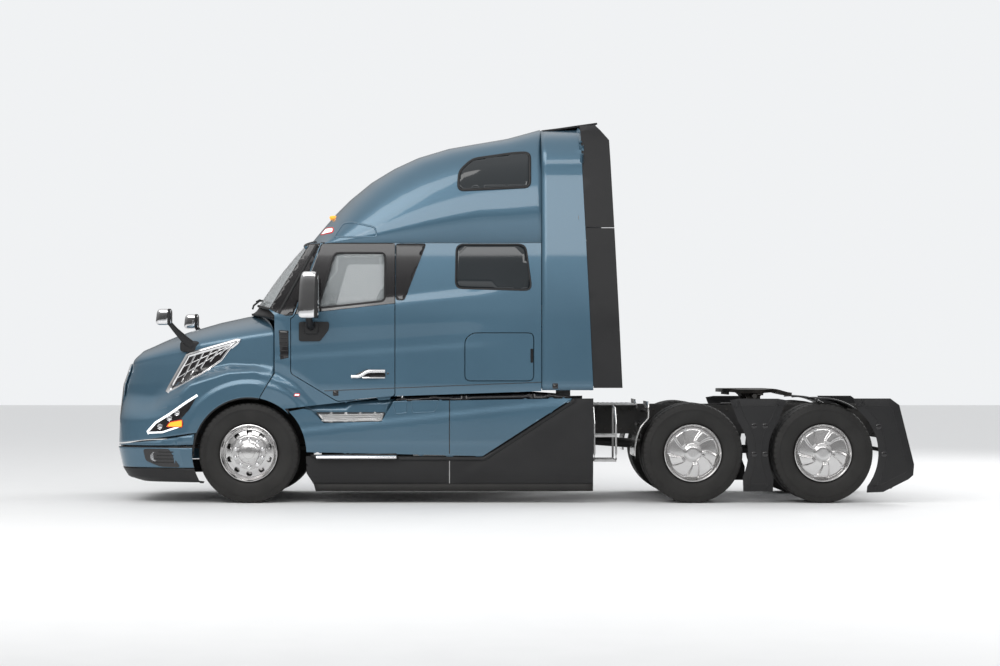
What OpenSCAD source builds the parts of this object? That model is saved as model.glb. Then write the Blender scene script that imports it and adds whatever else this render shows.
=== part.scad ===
// Semi truck tractor unit: conventional sleeper cab, steered front axle, two driven rear axles.
// X runs from nose to tail, Y to the truck's right and Z up; the origin is on the ground.
// Body heights are drawn for a rail top at drawn_rail_top and lifted with the tyres.

/* [Wheelbase] */
// Nose to front axle
front_overhang = 1410; // [1380:10:1700]
// Front axle to first drive axle
wheelbase = 4500; // [4400:50:5800]
// Between the two drive axles
tandem = 1320; // [1250:10:1600]
// Last axle to the tail
rear_overhang = 920; // [860:10:1200]

/* [Wheels] */
// Tyre radius
tyre_r = 508; // [480:1:612]
// Tyre width
tyre_w = 280; // [230:5:300]
// Inner radius of the tyre bead
rim_r = 292; // [270:1:305]
// Clear space between twin tyres
dual_gap = 50; // [30:5:80]
// Gap between body side and outer tyre face
tyre_inset = 10; // [0:5:40]
// Front spindle radius
front_spindle_r = 45; // [35:1:50]
// Rear spindle radius
rear_spindle_r = 60; // [50:1:70]
// Kingpin radius
kingpin_r = 25; // [20:1:28]
// Running clearance on a radius
run_gap = 0.05; // [0.02:0.01:0.1]

/* [Frame] */
// Outside width over the rails
frame_w = 864; // [840:2:880]
// Rail height
rail_h = 300; // [250:5:320]
// Rail flange width
flange_w = 90; // [70:5:100]
// Rail thickness
rail_t = 10; // [8:1:14]
// Rail top above the axle line
ride_h = 477; // [470:1:520]

/* [Cab] */
// Body width over the cab sides
cab_w = 2400; // [2300:10:2900]
// Cab wall and door thickness
wall = 50; // [35:1:65]
// Door length along the truck
door_l = 1056; // [950:2:1280]
// Gap around doors and lids
gap = 8; // [6:1:12]
// Glass thickness
glass_t = 8; // [5:1:12]
// Luggage door length
luggage_l = 700; // [500:10:850]
// Back of the sleeper to the first drive axle
sleeper_gap = 1009; // [980:5:1300]

/* [Hood] */
// Hood shell thickness
hood_t = 20; // [14:1:24]
// Length over which the nose rounds off
nose_round = 700; // [500:10:800]
// Hood hinge pin radius
hood_pin_r = 6; // [5:0.5:8]

/* [Fifth wheel] */
// Length of the coupling plate
plate_l = 771; // [700:5:860]
// Width of the coupling plate
plate_w = 920; // [860:10:980]
// Trailer kingpin bore radius
bore_r = 25.6; // [25:0.1:27]
// Cross pin radius
cross_pin_r = 25; // [20:1:30]

/* [Hidden] */
$fn = 64;
drawn_rail_top = 985;
lift = tyre_r + ride_h - drawn_rail_top;
hw = cab_w / 2;
frame_y = frame_w / 2;
nose_x = -(front_overhang + wheelbase + tandem + rear_overhang) / 2;
tail_x = -nose_x;
front_x = nose_x + front_overhang;
drive_x = [front_x + wheelbase, front_x + wheelbase + tandem];
well_r = tyre_r + 57;
door_x = front_x + well_r - 139;
door_end_x = door_x + door_l;
back_x = drive_x[0] - sleeper_gap;
seam_x = back_x - 524;
tyre_y = hw - tyre_inset - tyre_w / 2;
twin_pitch = tyre_w + dual_gap;
kingpin_y = tyre_y - 180;
pivot = [nose_x + 50, 610 + lift];
lock_x = drive_x[0] + 718;
lock_z = 1075 + lift;
arm_x = 180;
trim_gap = 0.3;

// Helpers -----------------------------------------------------------------

function at(from, pts) = [for (p = pts) [p[0] + from, p[1] + lift]];
function bezier(a, b, c, d, n = 10) = [for (i = [0 : n]) let (t = i / n, s = 1 - t)
    s * s * s * a + 3 * s * s * t * b + 3 * s * t * t * c + t * t * t * d];
function arc(c, r, a0, a1, n = 16) = [for (i = [0 : n]) let (a = a0 + (a1 - a0) * i / n)
    c + r * [cos(a), sin(a)]];

module side(pts, y0, y1) {
    translate([0, y1, 0]) rotate([90, 0, 0]) linear_extrude(y1 - y0) polygon(pts);
}
module plan(pts, z0, z1) {
    translate([0, 0, z0]) linear_extrude(z1 - z0) polygon(pts);
}
module front(pts, x0, x1) {
    translate([x0, 0, 0]) rotate([90, 0, 90]) linear_extrude(x1 - x0) polygon(pts);
}
module both() { children(); mirror([0, 1, 0]) children(); }
module block(x0, x1, y0, y1, z0, z1) {
    translate([x0, y0, z0]) cube([x1 - x0, y1 - y0, z1 - z0]);
}
module rod_y(x, z, r, y0, y1) { translate([x, y1, z]) rotate([90, 0, 0]) cylinder(r = r, h = y1 - y0); }
module rod_x(y, z, r, x0, x1) { translate([x0, y, z]) rotate([0, 90, 0]) cylinder(r = r, h = x1 - x0); }
module rod_z(x, y, r, z0, z1) { translate([x, y, z0]) cylinder(r = r, h = z1 - z0); }
module on_side(s) { if (s < 0) children(); else mirror([0, 1, 0]) children(); }

// Half width of the cab at a height
section = [[900, hw], [1950, hw], [2643, hw - 70], [3500, hw - 170], [3720, hw - 260],
    [3840, hw - 400], [3890, hw - 620], [3900, 0]];
function half_at(z) = lookup(z, section);
function levels(z0, z1) = concat([z0], [for (p = section) if (p[0] > z0 && p[0] < z1) p[0]], [z1]);
// A strip of the cab's side skin between two heights, from inset a to inset b, on the left
module skin(x0, x1, z0, z1, a, b) {
    zs = levels(z0, z1);
    front(concat([for (z = zs) [-half_at(z) + a, z + lift]],
        [for (i = [len(zs) - 1 : -1 : 0]) [-half_at(zs[i]) + b, zs[i] + lift]]), x0, x1);
}
// The whole cab section, filled, inset by t
module cab_fill(x0, x1, z0, z1, t) {
    zs = levels(z0, z1 - t);
    front(concat([for (z = zs) [-half_at(z) + t, z + lift]],
        [for (i = [len(zs) - 1 : -1 : 0]) [half_at(zs[i]) - t, zs[i] + lift]]), x0, x1);
}

// Chassis -----------------------------------------------------------------

rail_x0 = nose_x + 250;
rail_x1 = tail_x - 125;
rail_z1 = drawn_rail_top + lift;
rail_z0 = rail_z1 - rail_h;
axle_z = tyre_r;

module frame() {
    cross = [rail_x0 + 60, door_x + 1100, drive_x[0] - 700, drive_x[0] + 120,
        drive_x[0] + tandem / 2, drive_x[1] + 120, rail_x1 - 60];
    color("dimgray") union() {
        both() difference() {
            block(rail_x0, rail_x1, frame_y - flange_w, frame_y, rail_z0, rail_z1);
            block(rail_x0 - 1, rail_x1 + 1, frame_y - flange_w - 1, frame_y - rail_t,
                rail_z0 + rail_t, rail_z1 - rail_t);
        }
        for (x = cross) rod_y(x, rail_z1 - 90, 55, -frame_y + rail_t / 2, frame_y - rail_t / 2);
    }
}

beam_z0 = axle_z - 98;
eye_h = 60;
module front_axle() {
    color("dimgray") union() {
        block(front_x - 55, front_x + 55, -680, 680, beam_z0, axle_z - 8);
        both() {
            block(front_x - 45, front_x + 45, 600, kingpin_y, axle_z - 58, axle_z + 50);
            rod_z(front_x, kingpin_y, 52, axle_z - eye_h, axle_z + eye_h);
            rod_z(front_x, kingpin_y, kingpin_r, axle_z - 150, axle_z + 150);
        }
    }
}

spring_l = 750;
module front_spring() {
    z = axle_z - 8;
    y0 = frame_y + 8;
    for (i = [0 : 2])
        block(front_x - spring_l + 180 * (2 - i), front_x + spring_l - 180 * (2 - i), y0, y0 + 80,
            z + 16 * i, z + 16 * (i + 1));
    for (s = [-1, 1]) translate([s * spring_l, 0, 0])
        block(front_x - 30, front_x + 30, frame_y, y0 + 80, z + 10, rail_z0 + 120);
}
module trailing_arm(x) {
    z = axle_z - 118;
    y0 = frame_y - 82;
    block(x - 470, x + 440, y0, y0 + 80, z, z + 40);
    block(x - 60, x + 60, y0, y0 + 80, z + 40, z + 60);
    block(x - 470, x - 400, y0, y0 + 80, z + 40, rail_z0);
    rod_z(x + 320, y0 + 40, 115, z + 40, rail_z0);
}
module suspension() {
    color("black") both() {
        union() front_spring();
        for (x = drive_x) difference() {
            trailing_arm(x);
            rod_y(x, axle_z, 71, 0, frame_y + 40);
        }
    }
}

spindle_end = hw - 70;
shaft_x = door_x + 740;
module driveline() {
    head = [shaft_x, 0, 780 + lift];
    tail = [drive_x[0] - 100, 0, axle_z + 30];
    run = tail - head;
    color("black") union() {
        for (x = drive_x) {
            rod_y(x, axle_z, 70, -tyre_y + twin_pitch + tyre_w / 2 + 20, tyre_y - twin_pitch - tyre_w / 2 - 20);
            translate([x, 0, axle_z]) sphere(r = 190);
            rod_y(x, axle_z, rear_spindle_r, -spindle_end, spindle_end);
        }
        translate(head) rotate([0, atan2(run[0], run[2]), 0]) cylinder(r = 50, h = norm(run));
        rod_x(0, axle_z, 45, drive_x[0], drive_x[1]);
    }
}

module engine() {
    z0 = 580 + lift;
    color("gray") union() {
        block(front_x - 850, door_x - 330, -320, 320, z0, 1500 + lift);
        block(door_x - 340, shaft_x - 4, -260, 260, z0, 1000 + lift);
        both() for (x = [front_x - 500, door_x - 380])
            block(x - 50, x + 50, 310, frame_y - rail_t, rail_z0 + 100, rail_z0 + 160);
    }
}

tank_r = 300;
tank_y = hw - 60 - tank_r;
tank_x = [door_end_x + 180, back_x - 300];
module fuel_tanks() {
    z = 690 + lift;
    color("silver") both() union() {
        rod_x(tank_y, z, tank_r, tank_x[0], tank_x[1]);
        for (x = [tank_x[0] + 200, tank_x[1] - 200])
            block(x - 40, x + 40, frame_y, tank_y - tank_r * 0.6, z - 60, z + 60);
    }
}

// Outline of the nose seen from above, inset by t
function nose_half(x, w) = w * pow(max(0, min(1, (x - nose_x) / nose_round)), 1 / 8);
nose_steps = [0, 0.004, 0.02, 0.06, 0.15, 0.3, 0.5, 0.75, 1];
// A half outline on the axis, closed with its mirror image
function closed(half) = concat(half, [for (i = [len(half) - 1 : -1 : 0])
    if (half[i][1] > 0.01) [half[i][0], -half[i][1]]]);
module nose_plan(w, x1, z0, z1, t) {
    plan(closed(concat([for (s = nose_steps) let (x = nose_x + s * nose_round)
        [x + t, max(0, nose_half(x, w) - t)]], [[x1, w - t]])), z0, z1);
}
bumper_t = 30;
bumper_x1 = front_x - 400;
bumper_side = at(nose_x, [[0, 562], [4, 480], [55, 348], [114, 255], [272, 209], [980, 209],
    [980, 720], [870, 705], [300, 590], [120, 562]]);
module nose_shell(t, z0, z1) {
    difference() {
        nose_plan(hw, bumper_x1 + 300, z0, z1, 0);
        nose_plan(hw, bumper_x1 + 301, z0 - 1, z1 + 1, t);
    }
}
module wheel_well(r, y0) { both() rod_y(front_x, axle_z, r, y0, hw + 100, $fn = 192); }
module bumper() {
    color("steelblue") difference() {
        union() {
            intersection() {
                nose_shell(bumper_t, 360 + lift, 760 + lift);
                side(bumper_side, -hw - 1, hw + 1);
            }
            both() {
                block(nose_x + bumper_t - 5, rail_x0, frame_y - 80, frame_y - 20, 400 + lift, 520 + lift);
                block(rail_x0 - 30, rail_x0, frame_y - 80, frame_y - 20, 400 + lift, rail_z1 - 40);
                block(pivot[0] - 12, pivot[0] + 25, frame_y - 80, frame_y - 60, 500 + lift, pivot[1]);
                rod_y(pivot[0], pivot[1], 12, frame_y - 80, frame_y - 60);
                rod_y(pivot[0], pivot[1], hood_pin_r, frame_y - 80, frame_y - 20);
            }
        }
        wheel_well(well_r, hw - 70);
        wheel_well(well_r + 35, 0);
    }
}
module bumper_valance() {
    color("black") difference() {
        intersection() {
            nose_shell(bumper_t, 200 + lift, 360 + lift);
            side(bumper_side, -hw - 1, hw + 1);
        }
        wheel_well(well_r, hw - 70);
        wheel_well(well_r + 35, 0);
    }
}

fair_t = 26;
fair_y = hw - 4;
fairing_side = concat(
    [for (p = arc([front_x, axle_z], well_r + 20, 0, 46, 10)) p],
    at(door_x, [[130, 958], [210, 940], [335, 812], [918, 828], [1043, 1030]]),
    at(back_x, [[-216, 1062], [-1120, 478]]),
    [[front_x + well_r + 20, 478 + lift]]);
module side_fairings() {
    color("steelblue") both() union() {
        side(fairing_side, fair_y - fair_t, fair_y);
        for (x = [door_x + 230, door_end_x + 60])
            block(x - 20, x + 20, frame_y, fair_y - fair_t + 2, 740 + lift, 780 + lift);
    }
}
lower_side = concat(
    at(front_x + well_r, [[14, 476], [20, 300], [60, 239], [110, 120]]),
    at(back_x, [[0, 120], [2, 1062], [-213, 1062], [-1118, 476]]));
module lower_fairings() {
    color("black") both() union() {
        side(lower_side, fair_y - fair_t, fair_y - 4);
        for (x = [door_x + 230, door_end_x + 60, back_x - 200])
            block(x - 20, x + 20, tank_y, fair_y - fair_t + 2, 330 + lift, 370 + lift);
    }
}
module cab_steps() {
    color("silver") both() {
        block(door_x + 330, door_x + 900, fair_y - 240, fair_y - fair_t, 812 + lift, 832 + lift);
        block(door_x + 262, door_x + 1070, fair_y, fair_y + 4, 448 + lift, 484 + lift);
    }
}

deck_x = [back_x + 10, back_x + 487];
module deck_plate() {
    z = rail_z1;
    color("silver") union() {
        block(deck_x[0], deck_x[1], -620, 620, z, z + 10);
        for (x = [deck_x[0], deck_x[0] + 223]) block(x, x + 6, -hw + 60, -frame_y - 40, 430 + lift, z + 10);
        for (h = [440, 690]) block(deck_x[0], deck_x[0] + 229, -hw + 60, -frame_y - 140, h + lift - 20, h + lift);
    }
}

fender_r = tyre_r + 82;
module quarter_fenders() {
    c = [drive_x[0], axle_z];
    y1 = tyre_y + tyre_w / 2 + 10;
    outer = concat(arc(c, fender_r + 8, 183, 153), [c + [-fender_r + 131, 523]]);
    inner = concat([c + [-fender_r + 139, 523]], arc(c, fender_r, 153, 183));
    color("silver") both() union() {
        side(concat(outer, inner), y1 - 600, y1);
        rod_y(c[0] - fender_r + 35, axle_z + 285, 18, frame_y, y1 - 590);
        block(c[0] - fender_r + 15, c[0] - fender_r + 55, y1 - 600, y1 - 560, axle_z + 265, axle_z + 305);
    }
}

mid_x = (drive_x[0] + drive_x[1]) / 2;
arc_r = tyre_r + 50;
function mid_outline() = let (top = asin(389 / arc_r), low = asin(-241 / arc_r))
    concat(arc([drive_x[0], axle_z], arc_r, low, top - 9),
        [[mid_x - 285, axle_z + 539], [mid_x - 200, axle_z + 554], [mid_x + 200, axle_z + 554],
        [mid_x + 285, axle_z + 539]],
        arc([drive_x[1], axle_z], arc_r, 189 - top, 180 - low),
        [[mid_x + 150, axle_z - 390], [mid_x - 150, axle_z - 390]]);
rear_outline = concat(arc([drive_x[1], axle_z], arc_r, -37, 50),
    [[drive_x[1] + 306, axle_z + 554], [drive_x[1] + 679, axle_z + 554],
    [drive_x[1] + 770, axle_z + 487], [tail_x, axle_z - 113], [tail_x - 8, axle_z - 223],
    [tail_x - 58, axle_z - 266], [tail_x - 314, axle_z - 394], [drive_x[1] + 440, axle_z - 405]]);
module wheel_fairings() {
    y1 = hw + 5;
    color("black") both() {
        union() {
            side(mid_outline(), y1 - 30, y1);
            for (z = [100, 400]) rod_y(mid_x, axle_z + z - 20, 20, frame_y, y1 - 20);
        }
        union() {
            side(rear_outline, y1 - 30, y1);
            for (z = [30, 330]) rod_y(drive_x[1] + 600, axle_z + z, 20, frame_y, y1 - 20);
        }
    }
}

ear_y = plate_w / 2 - 190;
module fifth_wheel_base() {
    z = rail_z1;
    color("dimgray") union() {
        block(lock_x - 260, lock_x + 260, -frame_y, frame_y, z, z + 12);
        both() {
            difference() {
                union() {
                    block(lock_x - 70, lock_x + 70, ear_y + 32, ear_y + 92, z + 10, lock_z);
                    rod_y(lock_x, lock_z, 32, ear_y + 32, ear_y + 92);
                }
            }
            rod_y(lock_x, lock_z, cross_pin_r, ear_y - 32, ear_y + 40);
        }
    }
}
module fifth_wheel() {
    z1 = 1155 + lift;
    z0 = z1 - 40;
    x0 = lock_x - plate_l * 0.453;
    x1 = x0 + plate_l;
    half = plate_w / 2;
    color("black") difference() {
        union() {
            plan([[x0 + 120, -half], [x1 - 210, -half], [x1, -half + 190], [x1, half - 190],
                [x1 - 210, half], [x0 + 120, half], [x0, half - 130], [x0, -half + 130]], z0, z1);
            both() {
                block(lock_x - 32, lock_x + 32, ear_y - 28, ear_y + 28, lock_z, z0 + 5);
                rod_y(lock_x, lock_z, 38, ear_y - 28, ear_y + 28);
            }
        }
        rod_z(lock_x, 0, bore_r, z0 - 1, z1 + 1);
        plan([[lock_x, -bore_r], [lock_x + 110, -bore_r], [x1 + 1, -190], [x1 + 1, 190],
            [lock_x + 110, bore_r], [lock_x, bore_r]], z0 - 1, z1 + 1);
        both() rod_y(lock_x, lock_z, cross_pin_r + run_gap, ear_y - 40, ear_y + 60);
    }
}
module tail_bar() {
    color("black") union() {
        block(rail_x1, rail_x1 + 40, -1000, 1000, 620 + lift, 800 + lift);
        block(rail_x1 + 40, rail_x1 + 45, -150, 150, 640 + lift, 790 + lift);
        both() block(rail_x1 + 40, rail_x1 + 75, 640, 940, 660 + lift, 760 + lift);
    }
}

// Cab ---------------------------------------------------------------------

floor_z = 1160;
seal_t = 12;
module cab_floor() {
    y = hw - wall - seal_t;
    color("dimgray") union() {
        block(door_x - 154, back_x - wall - 20, -y, y, floor_z + lift, floor_z + 40 + lift);
        both() for (x = [door_x + 60, back_x - 260])
            block(x - 60, x + 60, frame_y - flange_w, frame_y, rail_z1, floor_z + 10 + lift);
    }
}
module cowl() {
    sag = [[-536, 0], [-520, 350], [-470, 650], [-390, 880], [-290, 1040], [-164, hw - wall - trim_gap]];
    color("black") intersection() {
        side(at(door_x, [[-560, 1896], [-404, 2010], [-200, 2010], [-200, 1900], [-154, 1900],
            [-154, 1160], [-214, 1160], [-214, 1850], [-560, 1850]]), -hw, hw);
        plan(concat([for (p = sag) [door_x + p[0], p[1]]], [[door_x + 100, hw - wall - trim_gap],
            [door_x + 100, -hw + wall + trim_gap]],
            [for (i = [len(sag) - 1 : -1 : 1]) [door_x + sag[i][0], -sag[i][1]]]), 0, 2100 + lift);
    }
}
door_side = concat(at(door_x, [[0, 1315], [0, 1875], [33, 1890], [310, 2636]]),
    at(door_end_x, [[0, 2636], [0, 1085]]), at(door_x, [[471, 1031]]));
door_window = concat(at(door_x, [[277, 1959], [430, 2526]]), at(door_end_x, [[-114, 2526], [-114, 2036]]));
cab_side = concat(at(door_x, [[-164, 1905], [-221, 1965], [189, 2643]]), at(seam_x, [[0, 2643]]),
    at(seam_x, [[0, 1136]]), at(door_end_x, [[0, 1085]]), at(door_x, [[-60, 957]]),
    arc([front_x, axle_z], well_r, 44, 78, 8), at(door_x, [[-307, 1075], [-164, 1312]]));
sleeper_window = at(seam_x, [[-877, 2158], [-877, 2625], [-162, 2625], [-162, 2158]]);
luggage_hole = at(seam_x, [[-78 - luggage_l, 1238], [-78 - luggage_l, 1727], [-78, 1727], [-78, 1238]]);
module prism_left(pts) { side(pts, -hw - 50, -200); }
module grown_left(pts, d) {
    translate([0, -200, 0]) rotate([90, 0, 0]) linear_extrude(hw - 150) offset(delta = d) polygon(pts);
}
module door_seal(pts, z0, z1, t) {
    intersection() {
        difference() {
            grown_left(pts, gap + 20);
            grown_left(pts, -18);
        }
        union() {
            skin(door_x - 200, seam_x, z0, z1, t + trim_gap, t + seal_t);
            difference() {
                skin(door_x - 200, seam_x, z0, z1, t - 2, t + seal_t);
                grown_left(pts, gap);
            }
        }
    }
}
module cab_sides() {
    color("steelblue") both() intersection() {
        prism_left(cab_side);
        union() {
            difference() {
                skin(door_x - 400, seam_x, 900, 2643, 0, wall);
                grown_left(door_side, gap);
                grown_left(luggage_hole, gap);
                prism_left(sleeper_window);
            }
            door_seal(door_side, 960, 2643, wall);
            door_seal(luggage_hole, 1180, 1800, wall);
        }
    }
}
back_side = at(seam_x, [[0, 1136], [524, 1154], [396, 3876], [0, 3861]]);
module sleeper_back() {
    inner = at(seam_x, [[-1, 1000], [524 - wall, 1000], [396 - wall, 3876 - wall], [-1, 3861 - wall]]);
    color("steelblue") difference() {
        intersection() {
            cab_fill(seam_x, seam_x + 600, 900, 3900, 0);
            side(back_side, -hw, hw);
        }
        intersection() {
            cab_fill(seam_x - 1, seam_x + 600, 900, 3900, wall);
            side(inner, -hw, hw);
        }
    }
}
roof_top = at(0, bezier([door_x + 106, 2643], [door_x + 1162, 3860], [seam_x - 962, 3585], [seam_x, 3861], 14));
roof_window = at(seam_x, [[-846, 3180], [-846, 3497], [-114, 3575], [-114, 3180]]);
module roof() {
    plan_half = [[106, 0], [120, 500], [190, 850], [307, 1040], [600, 1130], [900, hw]];
    module fill(t) {
        intersection() {
            cab_fill(door_x, seam_x + (t > 0 ? 1 : 0), 2643 - (t > 0 ? 5 : 0), 3900, t);
            translate([0, 0, -t * 1.2]) side(concat(roof_top, at(seam_x, [[1, 3861], [1, 2600]]),
                at(door_x, [[106, 2600]])), -hw, hw);
            plan(concat([for (p = plan_half) [door_x + p[0] + t, p[1]]],
                [[seam_x + 1, hw], [seam_x + 1, -hw]],
                [for (i = [len(plan_half) - 1 : -1 : 1]) [door_x + plan_half[i][0] + t, -plan_half[i][1]]]),
                2500 + lift, 4000 + lift);
        }
    }
    color("steelblue") difference() {
        intersection() {
            fill(0);
            block(door_x, seam_x, -hw, hw, 2643 + lift, 4000 + lift);
        }
        fill(wall);
        both() prism_left(roof_window);
    }
}
module windscreen() {
    r = 2325;
    tilt = atan2(488, 642);
    half = asin(960 / r);
    color("black") intersection() {
        translate([door_x - 424, 0, 2026 + lift]) rotate([0, tilt, 0]) translate([0, 0, -300])
            linear_extrude(1300) polygon(concat(arc([r, 0], r, 180 - half, 180 + half, 20),
                arc([r, 0], r - glass_t, 180 + half, 180 - half, 20)));
        block(door_x - 500, door_x + 400, -1050, 1050, 2010 + lift, 2643 + lift);
    }
}
module side_windows() {
    color("black") both() {
        intersection() {
            prism_left(sleeper_window);
            skin(door_x, seam_x, 2100, 2643, 20, 20 + glass_t);
        }
        intersection() {
            prism_left(roof_window);
            skin(door_x, seam_x, 3100, 3650, 20, 20 + glass_t);
        }
    }
}
module side_extenders() {
    t = 30;
    lower = at(seam_x, [[524, 1168], [820, 1168], [743, 2795], [447.2, 2795]]);
    upper = at(seam_x, [[446.8, 2801], [742, 2801], [697, 3700], [560, 3863], [396.8, 3863]]);
    color("black") both() for (p = [lower, upper]) intersection() {
        prism_left(p);
        skin(seam_x, seam_x + 900, 1100, 3870, 5, 5 + t);
    }
}
module roof_spoiler() {
    color("black") side(at(seam_x, [[4, 3861.4], [396, 3876.3], [500, 3884], [599, 3900], [599, 3941]]),
        -hw + 560, hw - 560);
}

seat_x = door_x + 640;
module seats() {
    color("dimgray") both() union() {
        block(seat_x - 180, seat_x + 180, 440, 720, floor_z + 40 + lift, floor_z + 330 + lift);
        block(seat_x - 260, seat_x + 240, 320, 840, floor_z + 330 + lift, floor_z + 450 + lift);
        side([for (p = [[140, 440], [240, 440], [370, 1080], [290, 1080]])
            [seat_x + p[0], floor_z + lift + p[1]]], 330, 830);
        side([for (p = [[296, 1080], [366, 1080], [390, 1240], [330, 1240]])
            [seat_x + p[0], floor_z + lift + p[1]]], 460, 700);
    }
}
module dashboard() {
    color("dimgray") side(at(door_x, [[-154, 1500], [60, 1560], [150, 1640], [150, 1740], [110, 1840],
        [-40, 1890], [-154, 1890]]), -hw + wall + 30, hw - wall - 30);
}
wheel_at = [door_x + 350, -580, 1830 + lift];
module steering_wheel() {
    color("black") union() {
        translate(wheel_at) rotate([0, 35, 0]) {
            rotate_extrude() translate([215, 0]) circle(r = 16);
            cylinder(r = 55, h = 30, center = true);
            for (a = [0, 120, 240]) rotate([0, 0, a]) translate([0, -14, -8]) cube([212, 28, 16]);
            translate([0, 0, -190]) cylinder(r = 28, h = 180);
        }
        block(door_x + 150, door_x + 258, wheel_at[1] - 26, wheel_at[1] + 26, 1650 + lift, 1730 + lift);
    }
}
bunk_x = [seam_x - 720, back_x - wall - 140];
module bunk_base() {
    color("gray") union() {
        block(bunk_x[0], bunk_x[1], -hw + wall + 20, hw - wall - 20, 1780 + lift, 1800 + lift);
        block(bunk_x[0], bunk_x[0] + 20, -hw + wall + 20, hw - wall - 20, floor_z + 40 + lift, 1790 + lift);
    }
}
module mattress() {
    color("lightgray") block(bunk_x[0] + 10, bunk_x[1] - 10, -hw + wall + 40, hw - wall - 40,
        1800 + lift, 1940 + lift);
}

// Hood --------------------------------------------------------------------

hood_x0 = 12;
hood_end = door_x - 551;
hood_crown = concat(
    bezier([nose_x + hood_x0, 596], [nose_x + 8, 900], [nose_x + 85, 1330], [nose_x + 205, 1540], 10),
    bezier([nose_x + 215, 1552], [nose_x + 375, 1660], [hood_end - 360, 1830], [hood_end, 1912], 10));
hood_bulk = concat(at(0, hood_crown), at(door_x, [[-100, 1940], [-100, 400]]), at(nose_x, [[hood_x0, 400]]));
hood_trim = concat(at(nose_x, [[-5, 594], [300, 608], [873, 735]]), at(front_x, [[-400, 735], [-200, 735]]),
    [[front_x, 900 + lift]], at(door_x, [[-320, 1075], [-174, 1315], [-174, 1960], [-700, 1960]]),
    at(nose_x, [[-5, 1960]]));
hood_back = [[-551, 0], [-533, 350], [-482, 650], [-402, 880], [-302, 1040], [-174, hw]];
hood_w1 = hw - 6;
// Half width of the upper hood, widening from the nose to the cab
function hood_half(x) = hood_w1 - 294 * (door_x - x) / (door_x - nose_x);
module hood_fill(t) {
    w1 = hood_w1;
    xs = [for (s = nose_steps) nose_x + s * nose_round];
    upper = concat([for (x = xs) [x + t, max(0, nose_half(x, hood_half(x)) - t)]],
        [[door_x, w1 - t]]);
    intersection() {
        rotate([90, 0, 0]) linear_extrude(2 * hw + 10, center = true) offset(delta = -t) polygon(hood_bulk);
        union() {
            intersection() {
                plan(closed(upper), 300 + lift, 2000 + lift);
                front(let (r = [[300, w1], [1650, w1], [1780, w1 - 90], [1860, w1 - 230], [1905, w1 - 500],
                    [1960, 0]]) concat([for (p = r) [max(0, p[1] - t), p[0] + lift]],
                    [for (i = [len(r) - 2 : -1 : 0]) [-r[i][1] + t, r[i][0] + lift]]),
                    nose_x, door_x);
            }
            intersection() {
                nose_plan(hw, door_x, 300 + lift, 1400 + lift, t);
                front(let (r = [[300, hw], [1200, hw], [1290, hw - 40], [1345, hw - 120]])
                    concat([for (p = r) [p[1] - t, p[0] + lift - (p[0] > 1300 ? t : 0)]],
                    [for (i = [len(r) - 1 : -1 : 0]) [-r[i][1] + t, r[i][0] + lift - (r[i][0] > 1300 ? t : 0)]]),
                    nose_x, door_x);
            }
        }
    }
}
module hood_shell() {
    intersection() {
        difference() {
            hood_fill(0);
            hood_fill(hood_t);
        }
        side(hood_trim, -hw - 1, hw + 1);
        plan(concat([[nose_x - 5, -hw - 5], [nose_x - 5, hw + 5], [door_x - 174, hw + 5]],
            [for (i = [len(hood_back) - 1 : -1 : 0]) [door_x + hood_back[i][0], hood_back[i][1]]],
            [for (i = [1 : len(hood_back) - 1]) [door_x + hood_back[i][0], -hood_back[i][1]]],
            [[door_x - 174, -hw - 5]]), 300 + lift, 2000 + lift);
    }
}
vent_side = at(front_x, [[-106, 1651], [-638, 1502], [-856, 1123], [-683, 1213], [-509, 1303],
    [-296, 1445], [-193, 1583]]);
lamp_side = at(front_x, [[-537, 1086], [-1035, 713], [-702, 774]]);
module vent_cut() { both() side(vent_side, 880, hw + 1); }
module lamp_cut() { both() side(lamp_side, 600, hw + 1); }
module grille_cut() {
    front([[-560, 640 + lift], [-700, 1000 + lift], [-640, 1420 + lift], [640, 1420 + lift],
        [700, 1000 + lift], [560, 640 + lift]], nose_x - 10, nose_x + 420);
}
module hood() {
    color("steelblue") difference() {
        union() {
            hood_shell();
            both() {
                rod_y(pivot[0], pivot[1], 14, frame_y - 54, frame_y - 24);
                block(nose_x + hood_x0 + hood_t - 4, pivot[0] + 4, frame_y - 54, frame_y - 24,
                    pivot[1] - 8, pivot[1] + 14);
            }
        }
        both() {
            rod_y(pivot[0], pivot[1], hood_pin_r + run_gap, frame_y - 100, frame_y);
            block(nose_x, pivot[0], frame_y - 86, frame_y - 54, pivot[1] - 40, pivot[1] + 30);
        }
        wheel_well(well_r, hw - 400);
        vent_cut();
        lamp_cut();
        grille_cut();
    }
}
module grille() {
    color("silver") intersection() {
        hood_shell();
        union() {
            grille_cut();
            vent_cut();
        }
    }
}
module headlamps() {
    color("white") intersection() {
        hood_shell();
        lamp_cut();
    }
}
module hood_mirrors() {
    y = hood_half(front_x - 519) + trim_gap;
    color("silver") both() union() {
        block(front_x - 719, front_x - 519, y, y + 40, 1530 + lift, 1600 + lift);
        block(front_x - 700, front_x - 670, y + 20, y + 70, 1560 + lift, 1880 + lift);
        block(front_x - 950, front_x - 780, y - 60, y + 140, 1804 + lift, 1975 + lift);
        block(front_x - 800, front_x - 680, y + 30, y + 60, 1850 + lift, 1880 + lift);
    }
}

// Doors -------------------------------------------------------------------

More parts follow.
